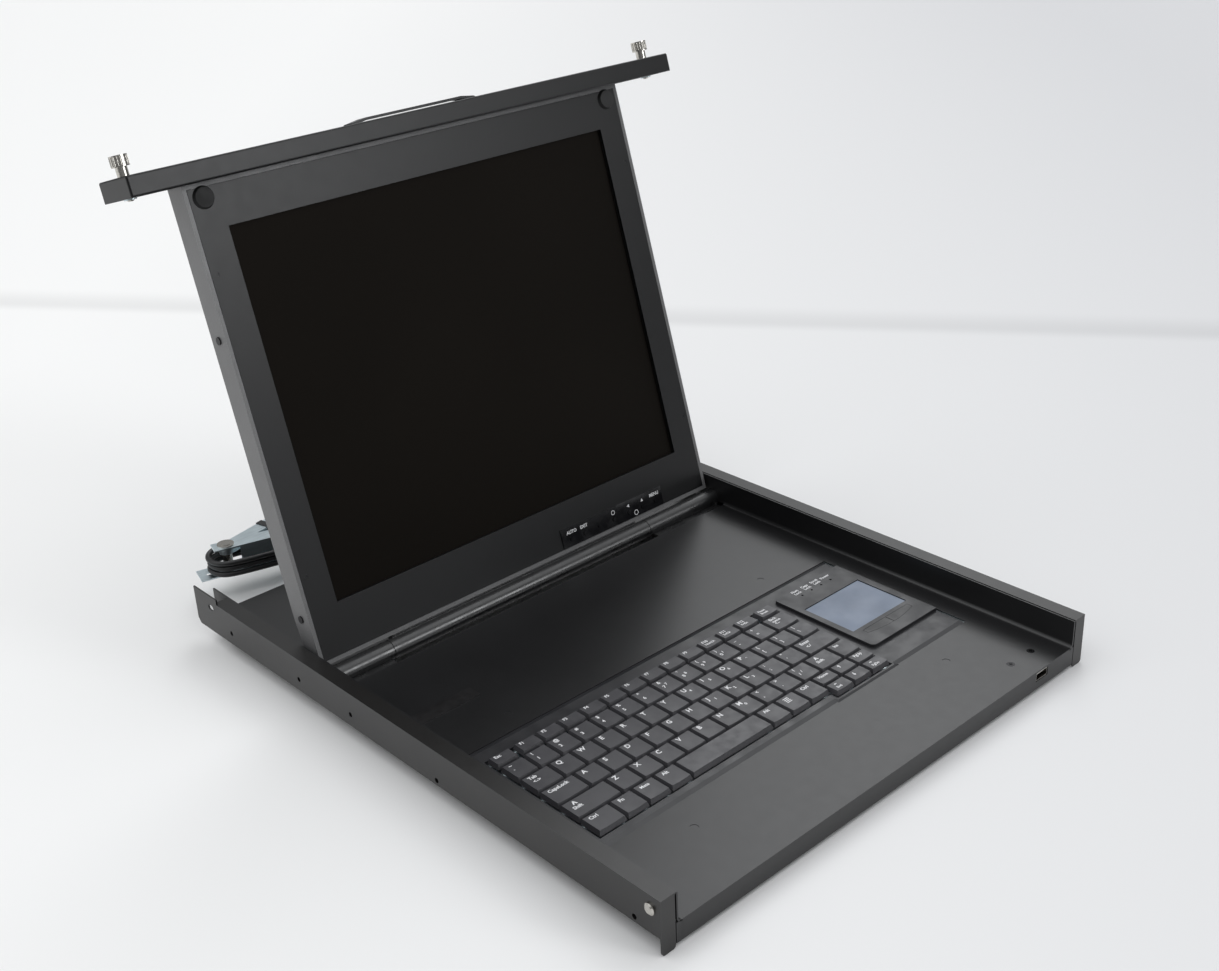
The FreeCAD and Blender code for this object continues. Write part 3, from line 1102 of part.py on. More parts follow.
# --- all pieces --------------------------------------------------------------
def main():
    os.makedirs("parts", exist_ok=True)
    rail = side_rail_right()
    export("tray_pan", tray_pan())
    export("side_rail_right", rail)
    export("side_rail_left", mirrored(rail))
    export("tray_screws", grouped([rail_screws(), floor_screws(), bracket_screws()]))
    export("bottom_cover", bottom_cover())
    export("controller_board", controller_board())
    export("usb_socket", usb_socket())
    export("blank_nameplate", blank_nameplate())

    cells = key_cells()
    export("keyboard_frame", keyboard_frame())
    export("keyboard_base", keyboard_base(cells))
    export("touchpad_surface", touchpad_surface())
    middle = (PAD_BUTTON_LEFT + PAD_BUTTON_RIGHT) / 2
    export("touchpad_button_left", touchpad_button(PAD_BUTTON_LEFT, middle))
    export("touchpad_button_right", touchpad_button(middle, PAD_BUTTON_RIGHT))
    groups = {}
    for cell in cells:
        groups.setdefault(cell[0], []).append(keycap(cell))
    for name, keys in groups.items():
        export(name, grouped(keys))

    export("display_back_cover", raised(display_back_cover()))
    export("display_bezel", raised(display_bezel()))
    export("display_side_screws", raised(display_side_screws()))
    export("lcd_panel", raised(lcd_panel()))
    export("osd_strip", raised(osd_strip()))
    names = ("auto", "exit", "select", "left", "up", "menu")
    for name, x in zip(names, OSD_BUTTONS_X):
        export("osd_button_" + name, raised(osd_button(x)))
    export("front_bar", raised(front_bar()))
    export("pull_handle", raised(pull_handle()))
    export("screw_sleeves", raised(screw_sleeves()))
    for name, side in (("left", -1), ("right", 1)):
        export("captive_screw_" + name, raised(captive_screw(side)))
        export("screw_clip_" + name, raised(screw_clip(side)))
    export("rubber_bumpers", raised(rubber_bumpers()))
    export("hinge_barrel_centre", raised(hinge_barrel_centre()))
    half = TRAY_WALL_INSIDE
    export("hinge_barrel_left", hinge_barrel_fixed(-half, BARREL_LEFT_SEAM_X - BARREL_SEAM / 2))
    export("hinge_barrel_right", hinge_barrel_fixed(BARREL_RIGHT_SEAM_X + BARREL_SEAM / 2, half))
    export("hinge_pins", hinge_pins())

    export("arm_bracket", arm_bracket())
    export("drawer_pivot_rivet", drawer_pivot_rivet())
    export("arm_link_inner", arm_link_inner())
    export("elbow_rivet", elbow_rivet())
    export("arm_link_outer", arm_link_outer())
    export("cable_strap", cable_strap())
    export("cable_grommet", cable_grommet())
    export("cable_lead", cable_lead())
    export("cable_hank", cable_hank())
    export("cable_tail", cable_tail())
    export("cable_plug", cable_plug())


main()
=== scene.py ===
# %% [markdown]
# # Rackmount console drawer
# This lesson dresses a finished mechanical model of a rack console drawer. The drawer
# is pulled out and its screen is raised. Every solid is already in place, so the work
# here is the camera, the cable, the surfaces, the lettering and the light.

# %% Load the mechanical frame
import bpy
import bmesh
import math
from mathutils import Matrix, Vector


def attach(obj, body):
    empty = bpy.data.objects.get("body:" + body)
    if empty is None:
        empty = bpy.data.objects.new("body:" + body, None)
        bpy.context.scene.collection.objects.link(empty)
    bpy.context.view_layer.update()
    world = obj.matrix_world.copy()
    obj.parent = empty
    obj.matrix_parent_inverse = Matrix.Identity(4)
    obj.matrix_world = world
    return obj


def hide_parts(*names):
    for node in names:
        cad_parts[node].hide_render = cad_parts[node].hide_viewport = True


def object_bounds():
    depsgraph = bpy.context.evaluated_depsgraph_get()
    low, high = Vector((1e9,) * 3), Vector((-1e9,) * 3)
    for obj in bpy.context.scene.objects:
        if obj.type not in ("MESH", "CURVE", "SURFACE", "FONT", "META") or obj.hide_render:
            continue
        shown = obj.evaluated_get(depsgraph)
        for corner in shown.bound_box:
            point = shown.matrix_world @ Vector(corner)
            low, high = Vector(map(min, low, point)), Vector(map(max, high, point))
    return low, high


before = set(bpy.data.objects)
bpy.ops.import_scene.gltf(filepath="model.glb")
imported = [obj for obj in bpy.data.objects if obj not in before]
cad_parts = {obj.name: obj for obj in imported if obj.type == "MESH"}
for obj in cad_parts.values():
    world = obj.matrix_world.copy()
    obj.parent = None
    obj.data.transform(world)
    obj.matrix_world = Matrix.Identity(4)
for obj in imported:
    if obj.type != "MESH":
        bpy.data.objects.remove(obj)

cad_box = [list(corner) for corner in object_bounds()]
MM = 0.001

# %% [markdown]
# The model's origin is the middle of the flat bottom cover. Drawings of the drawer count
# their depth from the front edge of the tray instead, so one helper converts a point
# given in millimetres from that edge into metres in the model's frame.

# %% Points from the front edge
FRONT_EDGE_Y = -177.0


def at(x, y, z):
    """A drawing point in millimetres as a point of the model in metres."""
    return Vector((x * MM, (y + FRONT_EDGE_Y) * MM, z * MM))


# %% [markdown]
# ## Camera
# A slightly long lens looks down from the front left, at standing height beside a bench. A
# wide lens would stand closer and make the near corner swell. The three angles are set
# directly, since a tracking constraint would lose the small roll.

# %% Camera
SENSOR_MM, LENS_MM = 36.0, 46.81
CAMERA_PLACE = (-682.5, -498.6, 627.7)
CAMERA_DEGREES = (64.123, 2.375, -43.005)
camera_data = bpy.data.cameras.new("studio_camera")
camera_data.sensor_width = SENSOR_MM
camera_data.lens = LENS_MM
camera = bpy.data.objects.new("studio_camera", camera_data)
camera.location = at(*CAMERA_PLACE)
camera.rotation_euler = [math.radians(angle) for angle in CAMERA_DEGREES]
bpy.context.scene.collection.objects.link(camera)
bpy.context.scene.camera = camera
print("camera", [round(value, 3) for value in camera.location])

# %% [markdown]
# ## Cable
# The console cable leaves the tray under the arm's pivot, climbs beside the inner link,
# winds round it and ends in a plug. All of that is one spline. Its points are given along
# and across the link, which points back and to the left. Each turn of the winding swells a
# little differently, as a cable wound by hand does. A cloth or rope simulation could drape
# it, but a loop over the turns gives the same winding on every run.

# %% Cable route
ARM_PIVOT = (-4.0, 510.0)
ARM_ANGLE = math.radians(164.5)
CABLE_RADIUS = 2.2
TURN_RADIUS = 18.0
NEAR_TURN, MID_LINK, FAR_TURN = 70.0, 112.0, 157.0
TURN_RISE = 4.9
TURN_SWELLS = (0.2, -0.5, 0.4)
CORNER_BULGE = 1.055
LEAD_START_Y, LEAD_Z = 502.75, 8.5
LOWEST_Z = 22.2
CLIMB_END, TAIL_END = 46.0, 34.0


def on_link(along, aside, z):
    """A point beside the inner link, in millimetres from its pivot."""
    x = ARM_PIVOT[0] + along * math.cos(ARM_ANGLE) - aside * math.sin(ARM_ANGLE)
    y = ARM_PIVOT[1] + along * math.sin(ARM_ANGLE) + aside * math.cos(ARM_ANGLE)
    return at(x, y, z)


def half_turn(centre, first_angle, z, swell):
    """Five points round one end of the winding."""
    points = []
    for step in range(5):
        angle = math.radians(first_angle + 45.0 * step)
        radius = (TURN_RADIUS + swell) * (1.0 if step in (0, 4) else CORNER_BULGE)
        points.append(on_link(centre + radius * math.cos(angle), radius * math.sin(angle),
                              z + TURN_RISE * step / 20.0))
    return points


corner_y = ARM_PIVOT[1] + TURN_RADIUS / math.cos(math.pi - ARM_ANGLE)
route = [at(ARM_PIVOT[0], LEAD_START_Y, LEAD_Z), at(ARM_PIVOT[0], corner_y, LEAD_Z),
         on_link(CLIMB_END, -TURN_RADIUS, LOWEST_Z)]
last_turn = len(TURN_SWELLS) - 1
for turn, swell in enumerate(TURN_SWELLS):
    z = LOWEST_Z + TURN_RISE * turn
    route += half_turn(FAR_TURN, -90.0, z, swell)
    route.append(on_link(MID_LINK, TURN_RADIUS + swell, z + 0.3 * TURN_RISE))
    if turn < last_turn:
        route += half_turn(NEAR_TURN, 90.0, z + 0.5 * TURN_RISE, swell)
        route.append(on_link(MID_LINK, -TURN_RADIUS - swell, z + 0.8 * TURN_RISE))
top = LOWEST_Z + TURN_RISE * last_turn
route += [on_link(NEAR_TURN, TURN_RADIUS, top), on_link(TAIL_END, TURN_RADIUS, top)]
print("cable route points", len(route))

# %% [markdown]
# A curve with a round bevel suits a cable: it runs smoothly past a few points, and one
# radius sets its thickness.

# %% Cable spline
cable_data = bpy.data.curves.new("console_cable", "CURVE")
cable_data.dimensions = "3D"
cable_data.bevel_depth = 1.0
cable_data.bevel_resolution = 5
cable_data.resolution_u = 10
spline = cable_data.splines.new("NURBS")
spline.points.add(len(route) - 1)
for point, place in zip(spline.points, route):
    point.co = (*place, 1.0)
    point.radius = CABLE_RADIUS * MM
spline.order_u = 3
spline.use_endpoint_u = True
cable = bpy.data.objects.new("console_cable", cable_data)
bpy.context.scene.collection.objects.link(cable)
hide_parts("cable_lead", "cable_hank", "cable_tail")
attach(cable, "arm_inner")

# %% [markdown]
# ## Lip ends
# The folded front lip runs on behind both ears as two short tabs, in the tray's own paint.
# They are flat strips of sheet, so two cubes stretched to size in one mesh are enough.

# %% Front lip ends
LIP_INNER, LIP_OUTER = 195.9, 200.7
LIP_LOW, LIP_HIGH, LIP_WALL = 2.7, 17.4, 1.2
lip_mesh = bpy.data.meshes.new("front_lip_ends")
shape = bmesh.new()
for side in (-1, 1):
    made = bmesh.ops.create_cube(shape, size=1.0)["verts"]
    middle = at(side * (LIP_INNER + LIP_OUTER) / 2, LIP_WALL / 2, (LIP_LOW + LIP_HIGH) / 2)
    for vertex in made:
        vertex.co.x *= (LIP_OUTER - LIP_INNER) * MM
        vertex.co.y *= LIP_WALL * MM
        vertex.co.z *= (LIP_HIGH - LIP_LOW) * MM
        vertex.co += middle
shape.to_mesh(lip_mesh)
shape.free()
lip_ends = bpy.data.objects.new("front_lip_ends", lip_mesh)
bpy.context.scene.collection.objects.link(lip_ends)
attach(lip_ends, "tray")
print("lip ends", len(lip_mesh.polygons), "faces")

# %% [markdown]
# ## Surfaces
# Each surface is a node material. Painted images would need every solid unwrapped and
# would blur up close, while noise in the object's own coordinates stays sharp and keeps its
# real size. Small helpers do the wiring, so that a material reads as a short recipe.


# %% A new material
def start_material(name):
    """A new material with its shader, and a shortcut to add nodes and links."""
    material = bpy.data.materials.new(name)
    material.use_nodes = True
    tree = material.node_tree
    shader = tree.nodes["Principled BSDF"]
    coordinates = tree.nodes.new("ShaderNodeTexCoord")
    return material, tree, shader, coordinates.outputs["Object"]


# %% [markdown]
# Nearly every finish starts from the same two nodes: a noise whose blotches have a size in
# millimetres, and a ramp that turns it into two close colours or two close greys.


# %% Noise and ramp
def noise(tree, where, size_mm, detail=3.0, roughness=0.55, stretch=(1, 1, 1)):
    """Noise whose blotches are about size_mm across."""
    mapping = tree.nodes.new("ShaderNodeMapping")
    mapping.inputs["Scale"].default_value = [1000.0 / size_mm * value for value in stretch]
    tree.links.new(where, mapping.inputs["Vector"])
    texture = tree.nodes.new("ShaderNodeTexNoise")
    texture.inputs["Scale"].default_value = 1.0
    texture.inputs["Detail"].default_value = detail
    texture.inputs["Roughness"].default_value = roughness
    tree.links.new(mapping.outputs["Vector"], texture.inputs["Vector"])
    return texture.outputs["Fac"]


def ramp(tree, factor, low, high, start=0.35, end=0.65):
    """Two colours (or greys) spread over part of a factor's range."""
    node = tree.nodes.new("ShaderNodeValToRGB")
    node.color_ramp.elements[0].position = start
    node.color_ramp.elements[1].position = end
    for element, value in zip(node.color_ramp.elements, (low, high)):
        colour = value if isinstance(value, tuple) else (value, value, value)
        element.color = (*colour, 1.0)
    tree.links.new(factor, node.inputs["Fac"])
    return node.outputs["Color"]


# %% [markdown]
# Grain too fine to model is a bump, which tilts the shading and leaves the mesh alone.
# Bumps are chained, so that one finish can have a coarse and a fine one.


# %% Bump and blend
def bump(tree, shader, height, strength, distance_mm):
    """Relief of distance_mm on the shader's normal, over any bump already there."""
    node = tree.nodes.new("ShaderNodeBump")
    node.inputs["Strength"].default_value = strength
    node.inputs["Distance"].default_value = distance_mm * MM
    tree.links.new(height, node.inputs["Height"])
    earlier = shader.inputs["Normal"].links
    if earlier:
        tree.links.new(earlier[0].from_socket, node.inputs["Normal"])
    tree.links.new(node.outputs["Normal"], shader.inputs["Normal"])


def mixed(tree, factor, first, second):
    """Blend of two colour outputs."""
    node = tree.nodes.new("ShaderNodeMix")
    node.data_type = "RGBA"
    tree.links.new(factor, node.inputs["Factor"])
    tree.links.new(first, node.inputs["A"])
    tree.links.new(second, node.inputs["B"])
    return node.outputs["Result"]


# %% [markdown]
# Paint rubs thin along folds and corners. Painting that by hand would have to be redone
# after each change of shape. A rounded normal differs from the flat one only near an edge,
# so comparing the two finds the edges by itself.


# %% Edge wear
def edge_wear(tree, reach_mm=0.5):
    """White within reach_mm of an edge, where a rounded normal leaves the flat one."""
    rounded = tree.nodes.new("ShaderNodeBevel")
    rounded.samples = 4
    rounded.inputs["Radius"].default_value = reach_mm * MM
    flat = tree.nodes.new("ShaderNodeNewGeometry")
    agree = tree.nodes.new("ShaderNodeVectorMath")
    agree.operation = "DOT_PRODUCT"
    tree.links.new(rounded.outputs["Normal"], agree.inputs[0])
    tree.links.new(flat.outputs["Normal"], agree.inputs[1])
    return ramp(tree, agree.outputs["Value"], 1.0, 0.0, 0.80, 0.97)


# %% [markdown]
# Powder coat is a fine orange-peel grain, a slow drift in colour and a slightly lighter
# rubbed line along the folded edges. One flat colour would look like plastic. The panel's
# coat is a little blacker than the tray's, the rails are warmer and the housing is grey, so
# one recipe takes each coat's colours.


# %% Powder coat
WORN_BLACK = (0.022, 0.022, 0.024)


def powder_coat(name, dark, light, grain_mm=0.8, rough=(0.31, 0.33), worn=WORN_BLACK):
    """Painted sheet between two close colours, with grain and lighter rubbed edges."""
    material, tree, shader, where = start_material(name)
    drift = ramp(tree, noise(tree, where, 60.0, 2.0), dark, light)
    grain = noise(tree, where, grain_mm, 2.0, 0.6)
    speckle = ramp(tree, grain, 0.0, 1.0, 0.30, 0.75)
    fleck = tree.nodes.new("ShaderNodeMix")
    fleck.data_type = "RGBA"
    fleck.blend_type = "MULTIPLY"
    fleck.inputs["Factor"].default_value = 0.35
    tree.links.new(drift, fleck.inputs["A"])
    tree.links.new(speckle, fleck.inputs["B"])
    rubbed = tree.nodes.new("ShaderNodeRGB")
    rubbed.outputs["Color"].default_value = (*worn, 1.0)
    paint = mixed(tree, edge_wear(tree), fleck.outputs["Result"], rubbed.outputs["Color"])
    tree.links.new(paint, shader.inputs["Base Color"])
    sheen = ramp(tree, noise(tree, where, 9.0), rough[0], rough[1])
    tree.links.new(sheen, shader.inputs["Roughness"])
    bump(tree, shader, noise(tree, where, 2.2, 1.0), 0.3, 0.02)
    bump(tree, shader, grain, 0.5, 0.035)
    shader.inputs["Specular IOR Level"].default_value = 0.5
    return material


charcoal = powder_coat("charcoal_powder_coat",
                       (0.0105, 0.0105, 0.0112), (0.0128, 0.0128, 0.0136))
rail_grey = powder_coat("rail_powder_coat",
                        (0.0125, 0.0118, 0.0115), (0.0160, 0.0152, 0.0148), 0.7)
housing_grey = powder_coat("housing_powder_coat",
                           (0.150, 0.149, 0.151), (0.166, 0.165, 0.167), 0.6,
                           (0.30, 0.36), (0.170, 0.170, 0.172))
panel_black = powder_coat("panel_powder_coat",
                          (0.0048, 0.0048, 0.0053), (0.0060, 0.0060, 0.0066))
panel_black.node_tree.nodes["Principled BSDF"].inputs["Specular IOR Level"].default_value = 0.34
print("powder coats", [coat.name for coat in (charcoal, rail_grey, housing_grey, panel_black)])


# %% [markdown]
# Moulded plastics share one recipe: spark-eroded grain, a soft sheen and faint handling
# marks in the roughness. Keycaps are smoother where fingers polish them. The hinge barrels
# use the recipe too, since their smooth satin skin carries one long bright highlight.


# %% Moulded plastics
def moulded(name, colour, rough, grain_mm=0.25, relief=0.25, sheen_mm=14.0):
    """Plastic or rubber with a moulded grain and marks in its sheen."""
    material, tree, shader, where = start_material(name)
    darker = tuple(value * 0.86 for value in colour)
    tone = ramp(tree, noise(tree, where, 25.0, 2.0), darker, colour)
    tree.links.new(tone, shader.inputs["Base Color"])
    sheen = ramp(tree, noise(tree, where, sheen_mm), rough - 0.06, rough + 0.08)
    tree.links.new(sheen, shader.inputs["Roughness"])
    bump(tree, shader, noise(tree, where, grain_mm, 2.0), relief, 0.03)
    return material


frame_plastic = moulded("frame_plastic", (0.019, 0.019, 0.0215), 0.36)
key_plastic = moulded("keycap_plastic", (0.050, 0.049, 0.0540), 0.36, 0.2, 0.2, 6.0)
button_plastic = moulded("touchpad_button_plastic", (0.014, 0.014, 0.0155), 0.34)
plug_plastic = moulded("plug_plastic", (0.02, 0.02, 0.021), 0.45, 0.4)
gloss_black = moulded("gloss_black_strip", (0.006, 0.006, 0.007), 0.16, 0.5, 0.05)
barrel = moulded("barrel_satin", (0.0100, 0.0100, 0.0105), 0.28, 0.8, 0.05)
barrel.node_tree.nodes["Principled BSDF"].inputs["Specular IOR Level"].default_value = 0.8
rubber = moulded("black_rubber", (0.012, 0.012, 0.012), 0.62, 0.5, 0.4)
cable_jacket = moulded("cable_jacket", (0.010, 0.010, 0.011), 0.42, 0.6, 0.2)
pad_film = moulded("touchpad_film", (0.185, 0.220, 0.285), 0.50, 0.22, 0.3)
print("keycaps", key_plastic.name, "and barrels", barrel.name)


# %% [markdown]
# The captive screws are nickel plated, and the cable arm is zinc plated, with bluish
# streaks. A metal shows little colour of its own and mostly mirrors the room, so its
# roughness matters most. Noise stretched along one axis draws the streaks.


# %% Metals
def metal(name, colour, rough, streak=(1, 1, 1), streak_mm=1.2, relief=0.1):
    """Bare or plated metal with streaks drawn out along an axis."""
    material, tree, shader, where = start_material(name)
    shader.inputs["Metallic"].default_value = 1.0
    darker = tuple(value * 0.90 for value in colour)
    streaks = noise(tree, where, streak_mm, 4.0, 0.6, streak)
    tree.links.new(ramp(tree, streaks, darker, colour), shader.inputs["Base Color"])
    tree.links.new(ramp(tree, noise(tree, where, 5.0), rough - 0.02, rough + 0.03),
                   shader.inputs["Roughness"])
    bump(tree, shader, streaks, relief, 0.02)
    return material


nickel = metal("nickel_plate", (0.56, 0.54, 0.50), 0.20)
zinc = metal("zinc_plate", (0.74, 0.84, 0.88), 0.30, (0.1, 1.0, 1.0), 2.5, 0.0)
bare_plate = metal("bare_nameplate", (0.085, 0.083, 0.085), 0.38, (0.1, 1.0, 1.0), 0.6)
black_screw = metal("blackened_screw", (0.035, 0.034, 0.036), 0.34)
print("metals", [plate.name for plate in (nickel, zinc, bare_plate, black_screw)])

# %% [markdown]
# The tray's screws are one node: plated pan heads on the rails, blackened countersunk
# heads in the floor. Two material slots would need each head's faces picked, while one
# material can look at the height above the floor and choose by itself.

# %% Tray screws
FLOOR_SCREWS_BELOW = 0.020
tray_screw = metal("tray_screw_plate", (0.56, 0.54, 0.50), 0.22)
tree = tray_screw.node_tree
shader = tree.nodes["Principled BSDF"]
where = tree.nodes.new("ShaderNodeTexCoord").outputs["Object"]
split = tree.nodes.new("ShaderNodeSeparateXYZ")
tree.links.new(where, split.inputs["Vector"])
high = tree.nodes.new("ShaderNodeMath")
high.operation = "GREATER_THAN"
high.inputs[1].default_value = FLOOR_SCREWS_BELOW
tree.links.new(split.outputs["Z"], high.inputs[0])
blackened = tree.nodes.new("ShaderNodeRGB")
blackened.outputs["Color"].default_value = (0.02, 0.02, 0.021, 1.0)
plated = shader.inputs["Base Color"].links[0].from_socket
tree.links.new(mixed(tree, high.outputs["Value"], blackened.outputs["Color"], plated),
               shader.inputs["Base Color"])
print("screws are plated above", FLOOR_SCREWS_BELOW, "m")

# %% [markdown]
# The controller board stands on four posts in the bottom cover, under the tray floor. It
# is green laminate with lighter traces. It is hidden on the finished drawer, so a brick
# pattern for the traces is enough.

# %% Circuit board
board, tree, shader, where = start_material("circuit_board")
traces = tree.nodes.new("ShaderNodeTexBrick")
traces.inputs["Scale"].default_value = 120.0
traces.inputs["Mortar Size"].default_value = 0.012
traces.inputs["Color1"].default_value = (0.01, 0.09, 0.03, 1.0)
traces.inputs["Color2"].default_value = (0.012, 0.075, 0.03, 1.0)
traces.inputs["Mortar"].default_value = (0.03, 0.17, 0.06, 1.0)
tree.links.new(where, traces.inputs["Vector"])
tree.links.new(traces.outputs["Color"], shader.inputs["Base Color"])
bump(tree, shader, traces.outputs["Fac"], 0.3, 0.05)
shader.inputs["Roughness"].default_value = 0.35
print("board", board.name)

# %% [markdown]
# The screen is off: a matt anti-glare film over a nearly black panel, with the fine
# sparkle that such films have and a slightly brown tone. A glossy black would mirror the
# soft boxes, so its specular is turned low and tinted, and the roughness is kept high.

# %% Screen
screen, tree, shader, where = start_material("dark_screen")
brown_black = ramp(tree, noise(tree, where, 140.0, 1.0),
                   (0.0030, 0.0026, 0.0021), (0.0042, 0.0036, 0.0029))
tree.links.new(brown_black, shader.inputs["Base Color"])
shader.inputs["Roughness"].default_value = 0.5
shader.inputs["Specular IOR Level"].default_value = 0.07
shader.inputs["Specular Tint"].default_value = (1.0, 0.86, 0.74, 1.0)
bump(tree, shader, noise(tree, where, 0.25, 2.0), 0.2, 0.01)
print("screen", screen.name)

# %% [markdown]
# Legends and labels are printed in matt white ink. A pure white would glare like a lamp, so
# the ink is an uneven light grey.

# %% White print
print_white, tree, shader, where = start_material("white_print")
tree.links.new(ramp(tree, noise(tree, where, 0.5), (0.62, 0.62, 0.63), (0.78, 0.78, 0.79)),
               shader.inputs["Base Color"])
shader.inputs["Roughness"].default_value = 0.6
print("print", print_white.name)

# %% [markdown]
# Every solid of the frame now gets its surface. A table from name to material keeps this in
# one place and makes a wrong entry easy to see. The cable's solids aren't listed: they take
# the jacket, like the curve that stands for them.

# %% Dress the solids
KEY_GROUPS = ("function_keys", "number_keys", "backspace_key", "tab_key", "upper_letter_keys",
              "caps_lock_key", "home_letter_keys", "enter_key", "shift_keys", "lower_letter_keys",
              "navigation_keys", "modifier_keys", "space_bar")
OSD_BUTTONS = ("auto", "exit", "select", "left", "up", "menu")
surfaces = {
    "tray_pan": charcoal, "bottom_cover": charcoal, "display_back_cover": housing_grey,
    "display_bezel": panel_black, "front_bar": panel_black, "pull_handle": panel_black,
    "side_rail_left": rail_grey, "side_rail_right": rail_grey,
    "keyboard_frame": frame_plastic, "touchpad_surface": pad_film,
    "touchpad_button_left": button_plastic, "touchpad_button_right": button_plastic,
    "osd_strip": gloss_black, "lcd_panel": screen, "controller_board": board,
    "blank_nameplate": bare_plate, "rubber_bumpers": rubber, "cable_strap": rubber,
    "cable_grommet": rubber, "cable_plug": plug_plastic,
    "hinge_barrel_left": barrel, "hinge_barrel_centre": barrel, "hinge_barrel_right": barrel,
}
surfaces["tray_screws"] = tray_screw
surfaces["display_side_screws"] = black_screw
for name in ("captive_screw_left", "captive_screw_right", "screw_sleeves", "usb_socket",
             "drawer_pivot_rivet", "elbow_rivet"):
    surfaces[name] = nickel
for name in ("screw_clip_left", "screw_clip_right", "hinge_pins", "arm_bracket", "arm_link_inner",
             "arm_link_outer", "keyboard_base"):
    surfaces[name] = zinc
for name in KEY_GROUPS:
    surfaces[name] = key_plastic
for name in OSD_BUTTONS:
    surfaces["osd_button_" + name] = gloss_black
for name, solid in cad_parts.items():
    solid.data.materials.clear()
    solid.data.materials.append(surfaces.get(name, cable_jacket))
cable_data.materials.append(cable_jacket)
lip_mesh.materials.append(charcoal)
print("dressed", len(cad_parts), "solids")


# %% [markdown]
# Real folded sheet and moulded plastic have no knife edges. A narrow bevel on each solid
# catches the light the way a fold does, and its width is set by how the piece is made. The
# edges could be rounded in the solids themselves, but a modifier leaves the exact shapes
# alone and is easy to change. Weighted normals then keep the flat faces flat.


# %% Soft edges
FOLD_EDGE, KEY_EDGE, MOULD_EDGE, FINE_EDGE = 0.35, 0.45, 0.3, 0.2


def soften(name, width_mm, segments=2, angle=35.0):
    """Bevel and smooth shading for one solid."""
    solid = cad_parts[name]
    bevel = solid.modifiers.new("soft_edge", "BEVEL")
    bevel.width = width_mm * MM
    bevel.segments = segments
    bevel.limit_method = "ANGLE"
    bevel.angle_limit = math.radians(angle)
    for face in solid.data.polygons:
        face.use_smooth = True
    even = solid.modifiers.new("even_normals", "WEIGHTED_NORMAL")
    even.weight = 60


for name in ("tray_pan", "side_rail_left", "side_rail_right", "display_back_cover",
             "display_bezel", "front_bar", "pull_handle"):
    soften(name, FOLD_EDGE)
for name in KEY_GROUPS:
    soften(name, KEY_EDGE, 3)
for name in ("keyboard_frame", "touchpad_button_left", "touchpad_button_right", "cable_plug"):
    soften(name, MOULD_EDGE)
for name in ("captive_screw_left", "captive_screw_right", "arm_link_inner", "arm_link_outer",
             "hinge_barrel_left", "hinge_barrel_centre", "hinge_barrel_right", "rubber_bumpers",
             "elbow_rivet", "tray_screws", "osd_strip"):
    soften(name, FINE_EDGE)
print("softened", sum(1 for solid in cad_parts.values() if solid.modifiers))

# %% [markdown]
# ## Lettering
# Legends are flat white letters a few hundredths of a millimetre above the cap, pressed
# into the shallow dish of the key. All legends of a key group are one mesh, so they ride
# down with their keys. A text object can't be bent into a dish, so each word is made as
# text, filled, and kept only as points and faces.


# %% Letters
LETTER_SCALE, LETTER_WEIGHT = 1.22, 0.032


def letters(word, size_mm, align="LEFT"):
    """Flat letters as (points, faces), in millimetres from their lower left corner."""
    data = bpy.data.curves.new("letters", "FONT")
    data.body = word
    data.size = LETTER_SCALE * size_mm
    data.align_x = align
    data.space_line = 0.9
    data.resolution_u = 3
    data.offset = LETTER_WEIGHT * size_mm
    text = bpy.data.objects.new("letters", data)
    bpy.context.scene.collection.objects.link(text)
    bpy.context.view_layer.update()
    filled = text.evaluated_get(bpy.context.evaluated_depsgraph_get())
    mesh = bpy.data.meshes.new_from_object(filled)
    points = [vertex.co.copy() for vertex in mesh.vertices]
    faces = [list(face.vertices) for face in mesh.polygons]
    bpy.data.objects.remove(text)
    bpy.data.curves.remove(data)
    bpy.data.meshes.remove(mesh)
    return points, faces


# %% [markdown]
# One helper turns many prints into a single piece. Where each point goes is left to a small
# function, since keys, touchpad block and raised screen each have their own surface.


# %% A printed piece
def print_piece(name, body, prints, place):
    """One mesh from many prints; place(x, y, item) gives each point's position."""
    points, faces = [], []
    for item in prints:
        shape_points, shape_faces = item["shape"]
        first = len(points)
        points += [place(point.x + item["x"], point.y + item["y"], item) for point in shape_points]
        faces += [[first + index for index in face] for face in shape_faces]
    mesh = bpy.data.meshes.new(name)
    mesh.from_pydata(points, [], faces)
    mesh.materials.append(print_white)
    piece = bpy.data.objects.new(name, mesh)
    bpy.context.scene.collection.objects.link(piece)
    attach(piece, body)
    return piece


# %% [markdown]
# Signs that a plain typeface may lack are drawn as outlines and rings, in the same form
# as the letters, so that they can be printed together.


# %% Drawn shapes
def polygon_shape(points):
    """A flat outline as a print shape."""
    return [Vector((x, y, 0.0)) for x, y in points], [list(range(len(points)))]


def ring_shape(radius, width, sides=24):
    """A flat ring as a print shape."""
    points, faces = [], []
    for i in range(sides):
        angle = 2 * math.pi * i / sides
        for r in (radius - width / 2, radius + width / 2):
            points.append(Vector((r * math.cos(angle), r * math.sin(angle), 0.0)))
    for i in range(sides):
        j = (i + 1) % sides
        faces.append([2 * i, 2 * i + 1, 2 * j + 1, 2 * j])
    return points, faces


# %% [markdown]
# The key rows repeat the keyboard's own rules: a pitch of 19.2 mm, rows counted from the
# front, and each legend set near the upper left corner of its cap. Placing every legend by
# hand would take a long list, so a helper walks along a row and adds up the key widths.

